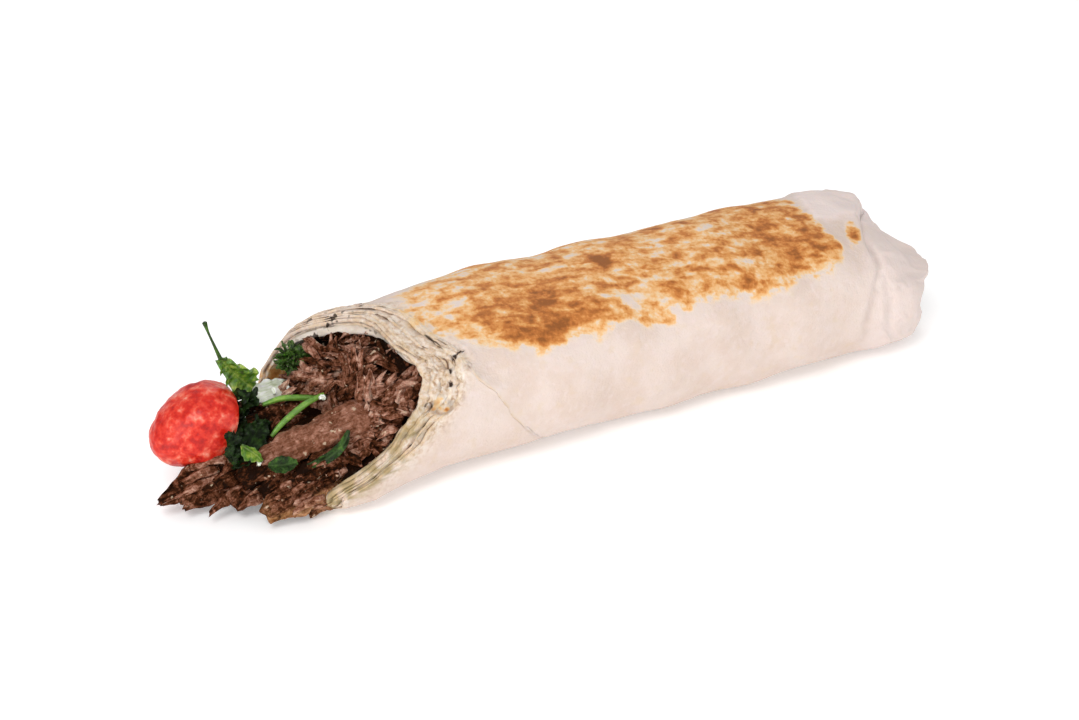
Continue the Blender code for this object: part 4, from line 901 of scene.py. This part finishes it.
def shavedMeat():
    # meat roasted on a spit and shaved thin: soft brown strands, pinkish where freshly cut, barely moist; the
    # palest pink tones, spread at random, are partly painted highlight
    material, tree, place = newMaterial("shavedRoastMeat", {
        "Roughness": 0.55, "Subsurface Weight": 0.10,
        "Subsurface Radius": (0.003, 0.001, 0.0006), "Subsurface Scale": 0.5,
    })
    marks = ("tone", "crisp", "calm")
    tone, crisp, calm = (addNode(tree, "Attribute", output=2, attribute_name=name) for name in marks)
    fibrePlace = addNode(tree, "Attribute", output=1, attribute_name="fibre")  # millimetres along and across
    stretched = addNode(tree, "Mapping", {"Vector": fibrePlace, "Scale": (0.24, 0.95, 0.5)})
    fibres, blotches, fine, flecks = (addNode(tree, "TexNoise", {
        "Vector": vector, "Scale": 1 / size, "Detail": detail, "Roughness": rough, "Distortion": twist,
    }) for vector, size, detail, rough, twist in (
        (stretched, 1, 3, 0.6, 0.9), (place, 3.6 * mm, 3, 0.6, 0.8), (place, 1.2 * mm, 3, 0.6, 0.8),
        (fibrePlace, 2.4, 2, 0.55, 0),
    ))
    mix = weighed(tree, (tone, 0.62), (fibres, 0.85), (blotches, 1), (fine, 0.9), less=1.17)
    toEven = addNode(tree, "Math", (0.5, mix), operation="SUBTRACT")
    mix = weighed(tree, (mix, 1), (weighed(tree, (calm, toEven)), 1))
    # the ramp's pale pink end is the cut meat's colour and partly painted highlight
    colour = addNode(tree, "ValToRGB", (mix,), stops=(
        (0.08, "1C0C04"), (1, "E6BEA4"), (0.26, "42210F"), (0.43, "6E4029"), (0.58, "946049"),
        (0.76, "BE8E78"),
    ))
    toasted = addNode(tree, "ValToRGB", (fine,), stops=((0.3, "8C5630"), (0.7, "E0A870")))
    patchy, fat, rough, shine = (addNode(
        tree, "MapRange", (source, *fromTo), interpolation_type="SMOOTHSTEP",
    ) for source, *fromTo in (
        (blotches, 0.40, 0.56, 0.15, 0.85), (flecks, 0.66, 0.72, 0, 1), (fine, 0.3, 0.7, 0.36, 0.62),
        (mix, 0.25, 0.85, 0.03, 0.5),
    ))
    shader = tree.nodes["Principled BSDF"]
    tree.links.new(rough, shader.inputs["Roughness"])
    tree.links.new(shine, shader.inputs["Specular IOR Level"])
    crispShare, fatShare = weighed(tree, (crisp, patchy)), weighed(tree, (fat, 0.7))
    colour = laidOver(tree, colour, (crispShare, toasted), (fatShare, "DCC3A6"))
    return finishMaterial(material, colour, weighed(tree, (fibres, 0.8), (fine, 0.7)), 0.8, 0.0008)


def shadedCoreParts(grid):  # meat deep between the slices, painted near black as shade
    return grid, {"fibre": grid, "tone": -0.45, "crisp": 0, "calm": 0}


meatMaterial = shavedMeat()
chance = np.random.default_rng(meat["seed"])
mainSlices = list(slices.values()) + mouthSlices(np.random.default_rng(meat["seed"] + 1))
shredded = [piece for piece in mainSlices if "whole" not in piece]
# under its torn strands a slice stays as a thinner base, painted darker as shade where it shows between them
bases = [
    piece if "whole" in piece else dict(piece, thick=piece["thick"] * 0.75, tone=piece["tone"] - 0.25)
    for piece in mainSlices
]
strands = [strand for piece in shredded for strand in strandsOf(piece, chance, meat["strandWidth"])]
shreds = [shred for piece in shredded for shred in shredsOn(piece, chance, meat["shreds"])]
scraps = mouthScraps(np.random.default_rng(meat["seed"] + 2), meat["scraps"])
scraps += lipScraps(np.random.default_rng(meat["seed"] + 3), meat["lipScraps"])
torn = [strand for piece in scraps for strand in strandsOf(piece, chance, meat["scrapStrandWidth"])]
parts = [shadedCoreParts(fillingCore()), shadedCoreParts(mound())] + [shavedSlice(piece) for piece in bases]
parts += [shavedSlice(piece, 24, 14) for piece in strands]
makePiece("shavedMeatHeap", parts, meatMaterial, ["meat_heap"])
makePiece("meatShreds", [shavedSlice(piece, 13, 10) for piece in shreds + torn], meatMaterial)


# tomato

tomato = {
    "at": (-151.6, 8.8, 21.7),
    "half": (15, 11.4, 11.8),
    "lean": math.radians(-16),
    "narrowing": 0.24,
    "cutWay": (0.80, -0.15, -0.58),
    "cutAt": 0.54,
    "fleshBumps": 0.34,
}


def tomatoGrid():
    # a squarish ball pressed flat on its cut side, turned about Y, with low bumps of wet flesh
    ball = ballGrid(0.03, 70, 110)
    cutWay = unit(tomato["cutWay"])
    past = ball @ cutWay - tomato["cutAt"]
    cut = soft(past / 0.1)
    ball = ball - np.clip(past, 0, None)[..., None] * cutWay * 0.85
    shape = np.sign(ball) * np.abs(ball) ** 0.9
    narrow = 1 + tomato["narrowing"] * ball[..., 0]
    shape[..., 1] *= narrow
    shape[..., 2] *= narrow
    swell = 1 + 0.025 * softNoise(ball * 10, 6, 111)
    grid = shape * np.array(tomato["half"]) * swell[..., None]
    bumps = tomato["fleshBumps"] * (roughNoise(grid, 3.2, 113) + 0.3 * cut * softNoise(grid, 1.6, 114))
    grid = grid + unit(grid) * bumps[..., None]
    c, s = math.cos(tomato["lean"]), math.sin(tomato["lean"])
    x, y, z = np.moveaxis(grid, -1, 0)
    return together(x * c + z * s, y, -x * s + z * c) + np.array(tomato["at"]), {}


def ripeTomato():
    # ripe tomato, peeled of its shine by the knife: wet mottled flesh with pale flecks that are partly painted
    # highlight of wet glints, glossy film of juice
    material, tree, place = newMaterial("ripeTomatoFlesh", {
        "Roughness": 0.4, "Specular IOR Level": 0.3, "Coat Weight": 0.12, "Coat Roughness": 0.25,
        "Subsurface Weight": 0.20, "Subsurface Radius": (0.006, 0.001, 0.0005), "Subsurface Scale": 0.5,
    })
    patches, flecks, bumps = (addNode(tree, "TexNoise", {
        "Vector": place, "Scale": 1 / (size * mm), "Detail": detail, "Roughness": rough, "Distortion": twist,
    }) for size, detail, rough, twist in ((4.5, 3, 0.5, 0.3), (1.6, 2, 0.5, 0), (1.6, 3, 0.55, 0)))
    # pale flecks at the ramp's top: the flesh's paler bits and painted highlight of wet glints
    colour = addNode(tree, "ValToRGB", (weighed(tree, (patches, 1.5), (flecks, 0.8), less=0.65),), stops=(
        (0.15, "B00E04"), (0.95, "FBB49E"), (0.36, "D01C0A"), (0.55, "E43C26"), (0.74, "F07058"),
    ))
    return finishMaterial(material, colour, bumps, 0.6, 0.0006)


makePiece("tomatoWedge", [tomatoGrid()], ripeTomato(), ["tomato_wedge"])


# leaves, stalks and onion

# thin sheets: what each value of a row is, and the rows
leafKeys = ("spine", "widths", "facingFoot", "facingTip", "thick", "ruffle", "phase", "lobes", "fold")
leaves = {
    "leaf": (
        ((-143.6, 8, 43.5), (-141, 8.5, 40), (-138.8, 9.6, 37), (-135.6, 10.2, 33), (-132.6, 10.2, 29.7)),
        (2.8, 5.4, 6, 9, 8.6, 3.8), (-0.5, -0.8, 0.3), (-0.4, -0.7, 0.6), 0.6, 1.25, 0.5, 0.16, 0.35,
    ),
    "small": (
        ((-145.4, -9.7, 23.5), (-143.7, -10.7, 22), (-141.7, -12, 20.2), (-140.3, -13, 18.2)),
        (1, 4.6, 3.6, 0.8), (-0.8, -0.4, 0.4), (-0.7, -0.5, 0.5), 0.5, 0.3, 1, 0.06, 1,
    ),
    "dark": (
        ((-140, -16, 18), (-137.6, -17, 17.8), (-134.8, -17.8, 17.8), (-131.6, -18.4, 18.2)),
        (1.4, 4.8, 4.8, 1.6), (-0.3, -0.7, 0.7), (-0.3, -0.7, 0.7), 0.5, 0.3, 2, 0.04, 0.3,
    ),
    "curl": (
        ((-128.5, -18.6, 15.9), (-124.5, -19.6, 16.9), (-120.5, -20.6, 19.2), (-117.4, -21.4, 22.8),
         (-116, -21.2, 26.2)),
        (1.2, 2.8, 3, 2.6, 1), (-0.3, -0.8, 0.5), (-0.7, -0.7, 0.1), 0.5, 0.3, 0, 0.04, 0.3,
    ),
    "shade": (
        ((-147, -8.6, 15.4), (-143.2, -7.2, 17.8), (-139.2, -4.2, 20.6), (-134.4, -0.8, 23.4)),
        (2, 8, 9, 4.5), (-0.3, -0.4, 0.9), (-0.2, -0.3, 0.9), 0.6, 0.6, 1.4, 0.1, 0,
    ),
    "onion": (
        ((-134.6, 9.6, 26.4), (-129.8, 10.5, 26.4), (-124.5, 11.5, 26.2), (-119, 12.6, 25.6)),
        (3.2, 6.8, 6.8, 4), (-0.3, -0.7, 0.7), (-0.3, -0.6, 0.8), 1.5, 0.3, 0, 0.08, 0,
    ),
}
leaves = {name: dict(zip(leafKeys, row)) for name, row in leaves.items()}

stalks = {  # places along each stalk, and its radii
    "upper": (
        ((-131.8, 4.4, 26.4), (-126, 4.2, 27), (-120, 2.6, 26.6), (-114, 0.4, 26)), (0.6, 0.85, 0.85, 0.7),
    ),
    "diagonal": (
        ((-114.4, -2.6, 29), (-120.5, -3.6, 28.2), (-126.5, -4.6, 26), (-131, -5.4, 23.6), (-134, -6, 21.2)),
        (0.7, 0.95, 0.95, 0.85, 0.6),
    ),
    "leafStem": (
        ((-143.4, 8.05, 43.2), (-145.4, 8, 48.6), (-147, 8, 53), (-148, 8, 56.4)), (0.62, 0.4, 0.36, 0.7),
    ),
}


def leafGrid(leaf, rows=40, columns=17):
    # a thin sheet carried along its spine: lobed edges, a fold along its rib and a ruffle that grows outwards
    spine = curveThrough(leaf["spine"], rows)
    half = curveThrough(leaf["widths"], rows) / 2
    t = np.linspace(0, 1, rows)
    half = half * (1 + leaf["lobes"] * np.sin(26 * t + leaf["phase"] * 3))
    facing = np.linspace(leaf["facingFoot"], leaf["facingTip"], rows)
    along = unit(np.gradient(spine, axis=0))
    face = unit(facing - along * np.sum(facing * along, axis=-1, keepdims=True))
    side = np.cross(face, along)
    across = np.linspace(-1, 1, columns)
    wave = np.sin(21 * t[:, None] + leaf["phase"] + 2 * across) + 0.6 * np.sin(47 * t[:, None] - 3 * across)
    lift = leaf["ruffle"] * wave * np.abs(across) ** 1.5
    lift = lift + half[:, None] * (0.22 * across**2 + leaf.get("fold", 0) * np.abs(across))
    middle = spine[:, None] + side[:, None] * (half[:, None] * across)[..., None]
    middle = middle + face[:, None] * lift[..., None]
    thick = leaf["thick"] / 2 * np.sqrt(np.clip(1.05 - across**2, 0, 1))
    offset = face[:, None] * thick[None, :, None]
    grid = np.concatenate([middle + offset, (middle - offset)[:, ::-1]], axis=1)
    length = np.linalg.norm(np.diff(spine, axis=0), axis=1).sum()
    flat = together(t[:, None] * length, half[:, None] * across, across)
    return grid, {"leafPlace": np.concatenate([flat, flat[:, ::-1]], axis=1)}


def stalkGrid(stalk, rows=40, columns=14):
    # a round tube along a curve, with faint ribs along it
    spine, radii = (curveThrough(values, rows) for values in stalk)
    along = unit(np.gradient(spine, axis=0))
    side = unit(np.cross(along, [0, 1, 0]))
    up = np.cross(side, along)
    angles = np.linspace(0, 2 * np.pi, columns, endpoint=False)
    ribbed = radii[:, None] * (1 + 0.10 * np.sin(4 * angles))
    ring = side[:, None] * np.cos(angles)[:, None] + up[:, None] * np.sin(angles)[:, None]
    length = np.linalg.norm(np.diff(spine, axis=0), axis=1).sum()
    place = together(np.linspace(0, length, rows)[:, None], 0.3 * np.cos(angles), 0.2 * np.sin(angles))
    return spine[:, None] + ring * ribbed[..., None], {"leafPlace": place}


darkBits = {  # places round which torn bits of leaf, painted near black as shade, lie, and how far from them
    "around": ((-143, -6, 16.5), (-138.5, -2, 19.5), (-133.5, 0, 22), (-140, 1.5, 22), (-136.6, 5.6, 30.4),
               (-144.8, -4.2, 22.6), (-146.2, -6.2, 18.4), (-139.2, 4.6, 25.2)),
    "spread": (2, 1.4, 1.8), "count": 72, "seed": 11,
}


def shadedLeafBits():
    # torn bits of leaf in the gap between the tomato and the meat: dark leaf, and painted shade of the gap
    chance = np.random.default_rng(darkBits["seed"])
    made = []
    for number in range(darkBits["count"]):
        foot = np.array(darkBits["around"][number % len(darkBits["around"])])
        foot = foot + chance.uniform(-1, 1, 3) * darkBits["spread"] - (1.4, 0, 1)
        way = unit(chance.normal(size=3) * (0.5, 0.5, 0.5) + (0.8, -0.1, 0.5))
        length, width = chance.uniform(3, 6), chance.uniform(1.6, 3.2)
        bend = foot + way * length / 2 + chance.normal(size=3) * 0.7
        made.append(dict(
            spine=(foot, bend, foot + way * length), widths=(1, width, 0.8),
            facingFoot=(-0.5, -0.6, 0.5) + chance.normal(size=3) * 0.3, facingTip=(-0.4, -0.7, 0.6),
            thick=0.35, ruffle=0.35, phase=chance.uniform(0, 6), lobes=0.06,
        ))
    return [leafGrid(leaf, 16, 9) for leaf in made]


def greenLeaf(name, dark, middle, bright, veinColour, veinShare, sheen=0.25):
    # a fresh leaf: waxy, a pale rib along its middle, and side veins that slant to its tip
    material, tree, place = newMaterial(name, {
        "Roughness": 0.42, "Subsurface Weight": 0.15, "Subsurface Radius": (0.001, 0.003, 0.0005),
        "Subsurface Scale": 0.4, "Specular IOR Level": 1.6 * sheen, "Coat Weight": sheen, "Coat Roughness": 0.3,
    })
    leafPlace = addNode(tree, "Attribute", output=1, attribute_name="leafPlace")  # millimetres along and across
    alongLeaf, acrossLeaf = (addNode(tree, "SeparateXYZ", (leafPlace,), i) for i in (0, 1))
    away = addNode(tree, "Math", (acrossLeaf,), operation="ABSOLUTE")
    rib = addNode(tree, "MapRange", (away, 0.15, 0.5, 1, 0), interpolation_type="SMOOTHSTEP")
    slanted = addNode(tree, "Math", (alongLeaf, weighed(tree, (away, 1.1))), operation="SUBTRACT")
    veins = addNode(tree, "Math", (weighed(tree, (slanted, 2.4)),), operation="SINE")
    veins = addNode(tree, "MapRange", (veins, 0.82, 1, 0, 1), interpolation_type="SMOOTHSTEP")
    lines = addNode(tree, "Math", (rib, weighed(tree, (veins, 0.6))), operation="MAXIMUM")
    blotches, fine = (addNode(tree, "TexNoise", {
        "Vector": place, "Scale": 1 / (size * mm), "Detail": detail, "Roughness": rough,
    }) for size, detail, rough in ((2.4, 3, 0.6), (1.2, 2, 0.55)))
    colour = addNode(tree, "ValToRGB", (blotches,), stops=((0.30, dark), (0.72, bright), (0.5, middle)))
    colour = laidOver(tree, colour, (weighed(tree, (lines, veinShare)), veinColour))
    height = addNode(tree, "Math", (fine, weighed(tree, (lines, 0.5))), operation="SUBTRACT")
    return finishMaterial(material, colour, height, 0.6, 0.0004)


def rawOnion():
    # raw onion, sliced: watery, whitish green, with fine lines along each layer
    material, tree, _ = newMaterial("rawOnion", {
        "Roughness": 0.28, "Subsurface Weight": 0.15, "Subsurface Radius": (0.003, 0.003, 0.002),
        "Subsurface Scale": 0.4, "Coat Weight": 0.4, "Coat Roughness": 0.2,
    })
    layerPlace = addNode(tree, "Attribute", output=1, attribute_name="leafPlace")
    stretched = addNode(tree, "Mapping", {"Vector": layerPlace, "Scale": (0.25, 1.6, 0.4)})
    lines = addNode(tree, "TexNoise", {"Vector": stretched, "Scale": 1, "Detail": 3})
    colour = addNode(tree, "ValToRGB", (lines,), stops=((0.30, "B4BE92"), (0.62, "FFFFFA"), (0.46, "EAF0DA")))
    return finishMaterial(material, colour, lines, 0.4, 0.0003)


onion = {  # chopped bits, a millimetre or two long, on top of the filling
    "bits": ((-141.2, -12.6, 17.6), (-118, -8, 31), (-112.5, -14, 29.6), (-122, 9.5, 27.6), (-126.5, 8, 27.8)),
    "seed": 5,
}


def onionBits():
    chance = np.random.default_rng(onion["seed"])
    made = []
    for place in onion["bits"]:
        way = unit(chance.normal(size=3)) * chance.uniform(1, 1.6)
        made.append(dict(
            spine=(place - way, np.array(place) + 0.2, place + way), widths=(1, 1.7, 0.9),
            facingFoot=(-0.5, -0.6, 0.6), facingTip=(-0.4, -0.6, 0.7), thick=1, ruffle=0.1, phase=0, lobes=0.1,
        ))
    return [leafGrid(bit, 12, 9) for bit in made]


def parsleyLeaflets():
    # small folded leaflets set over an oval, each pointing out of it
    chance = np.random.default_rng(parsley["seed"])
    made = []
    for _ in range(parsley["leaflets"]):
        way = unit(chance.normal(size=3))
        foot = np.array(parsley["at"]) + way * np.array(parsley["half"]) * chance.uniform(0.35, 0.75)
        tip = np.array(parsley["at"]) + way * np.array(parsley["half"]) * chance.uniform(0.95, 1.12)
        tip = tip + chance.normal(size=3) * 0.7
        bend = (foot + tip) / 2 + chance.normal(size=3) * 0.5
        width = chance.uniform(1.6, 3)
        facing = np.cross(way, unit(chance.normal(size=3)))
        made.append(dict(
            spine=(foot, bend, tip), widths=(0.5, width, 0.6), facingFoot=facing, facingTip=facing + way * 0.5,
            thick=0.25, ruffle=0.35, phase=chance.uniform(0, 6), lobes=0.3,
        ))
    return [leafGrid(leaf, 9, 5) for leaf in made]


brightLeaf = greenLeaf("freshHerbLeaf", "2A470A", "527C18", "A9B94A", "B6C272", 0.16)
stalkLeaf = greenLeaf("herbStalk", "2F5F10", "52901E", "92BC40", "ACCB6C", 0.25)
darkLeaf = greenLeaf("darkHerbLeaf", "101A07", "223A12", "4C7228", "5C7A3C", 0.2, 0.08)
# a copy of the leaf material painted near black as shade, for the leaf and the bits in the gap by the tomato
shadedLeaf = greenLeaf("shadedHerbLeaf", "070B04", "111E0A", "2C4618", "3A5226", 0.15, 0.05)
tuftLeaf = greenLeaf("curledParsley", "141F06", "2C4614", "6A8A3A", "7A9650", 0.25, 0.12)
makePiece("leafOnStem", [leafGrid(leaves["leaf"], 60, 25)], brightLeaf, ["salad_leaf"])
makePiece("leafStem", [stalkGrid(stalks["leafStem"])], darkLeaf)
makePiece("smallHerbLeaf", [leafGrid(leaves["small"])], brightLeaf, ["herb_leaf_small"])
makePiece("darkHerbLeaf", [leafGrid(leaves["dark"])], darkLeaf, ["herb_leaf_dark"])
makePiece("curledHerbLeaf", [leafGrid(leaves["curl"])], darkLeaf, ["herb_leaf_curl"])
shadedParts = [leafGrid(leaves["shade"])] + shadedLeafBits()
makePiece("shadedHerbLeaf", shadedParts, shadedLeaf, ["herb_leaf_shade"])
makePiece("upperHerbStalk", [stalkGrid(stalks["upper"])], stalkLeaf, ["herb_stem_upper"])
makePiece("diagonalHerbStalk", [stalkGrid(stalks["diagonal"])], stalkLeaf, ["herb_stem_diagonal"])
makePiece("parsleyTuft", parsleyLeaflets(), tuftLeaf, ["parsley_tuft"])
makePiece("onionSlivers", [leafGrid(leaves["onion"])] + onionBits(), rawOnion(), ["onion_slice"])


# studio

studio = {
    "floorHalf": 3,  # metres
    "cameraAt": (-0.3628, -0.5035, 0.3389),
    "cameraRight": (0.8485, -0.5279, 0.0365),
    "cameraUp": (0.2208, 0.4159, 0.8822),
    "focal": 2100,  # in pixels of the photograph, which is 1079 wide
    "photoWide": 1079,
    "sky": 0.53,
    "tableGlow": 0.20,
    "lights": (  # place, what it points at, size in metres, power in watts
        ("keyLight", (-0.75, -0.55, 0.95), (-0.03, 0, 0.02), 0.6, 7.8),
        ("fillLight", (0.30, -0.95, 0.28), (0, 0, 0.02), 0.9, 2.9),
        ("mouthLight", (-0.80, -0.42, 0.10), (-0.1, 0, 0.03), 0.4, 2),
        ("backLight", (0.3, 0.8, 0.8), (0, 0, 0.02), 0.8, 2.4),
    ),
}


def floorMaterial():
    # painted studio table, lit through from below a little: matt, near white, with a faint mottle
    material, tree, place = newMaterial("whiteStudioTable", {
        "Roughness": 0.7, "Emission Color": (1, 1, 1, 1), "Emission Strength": studio["tableGlow"],
    })
    mottle = addNode(tree, "TexNoise", {
        "Vector": place, "Scale": 1 / (60 * mm), "Detail": 2, "Roughness": 0.55,
    })
    colour = laidOver(tree, (0.96, 0.96, 0.96, 1), (mottle, (0.94, 0.94, 0.94, 1)))
    tree.links.new(colour, tree.nodes["Principled BSDF"].inputs["Base Color"])
    return material


def areaLight(name, place, target, size, power):
    lamp = bpy.data.lights.new(name, "AREA")
    lamp.shape = "DISK"
    lamp.size = size
    lamp.energy = power
    light = bpy.data.objects.new(name, lamp)
    light.location = place
    light.rotation_mode = "QUATERNION"
    light.rotation_quaternion = (Vector(target) - Vector(place)).to_track_quat("-Z", "Y")
    bpy.context.scene.collection.objects.link(light)


def makeStudio():
    half = studio["floorHalf"]
    mesh = bpy.data.meshes.new("studioTable")
    corners = [(x * half, y * half, -0.0001) for x, y in ((-1, -1), (1, -1), (1, 1), (-1, 1))]
    mesh.from_pydata(corners, [], [(0, 1, 2, 3)])
    mesh.materials.append(floorMaterial())
    floor = bpy.data.objects.new("studioTable", mesh)
    bpy.context.scene.collection.objects.link(floor)
    world = bpy.data.worlds.new("studioSky")
    world.use_nodes = True
    world.node_tree.nodes["Background"].inputs["Color"].default_value = (1, 1, 1, 1)
    world.node_tree.nodes["Background"].inputs["Strength"].default_value = studio["sky"]
    bpy.context.scene.world = world
    bpy.context.scene.view_settings.view_transform = "Standard"
    for light in studio["lights"]:
        areaLight(*light)
    camera = bpy.data.objects.new("camera", bpy.data.cameras.new("camera"))
    right, up = Vector(studio["cameraRight"]), Vector(studio["cameraUp"])
    turned = Matrix((right, up, right.cross(up))).transposed().to_4x4()
    camera.matrix_world = Matrix.Translation(studio["cameraAt"]) @ turned
    camera.data.lens = studio["focal"] * camera.data.sensor_width / studio["photoWide"]
    camera.data.clip_start = 0.01
    bpy.context.scene.collection.objects.link(camera)
    bpy.context.scene.camera = camera
    print("studio ready")


makeStudio()
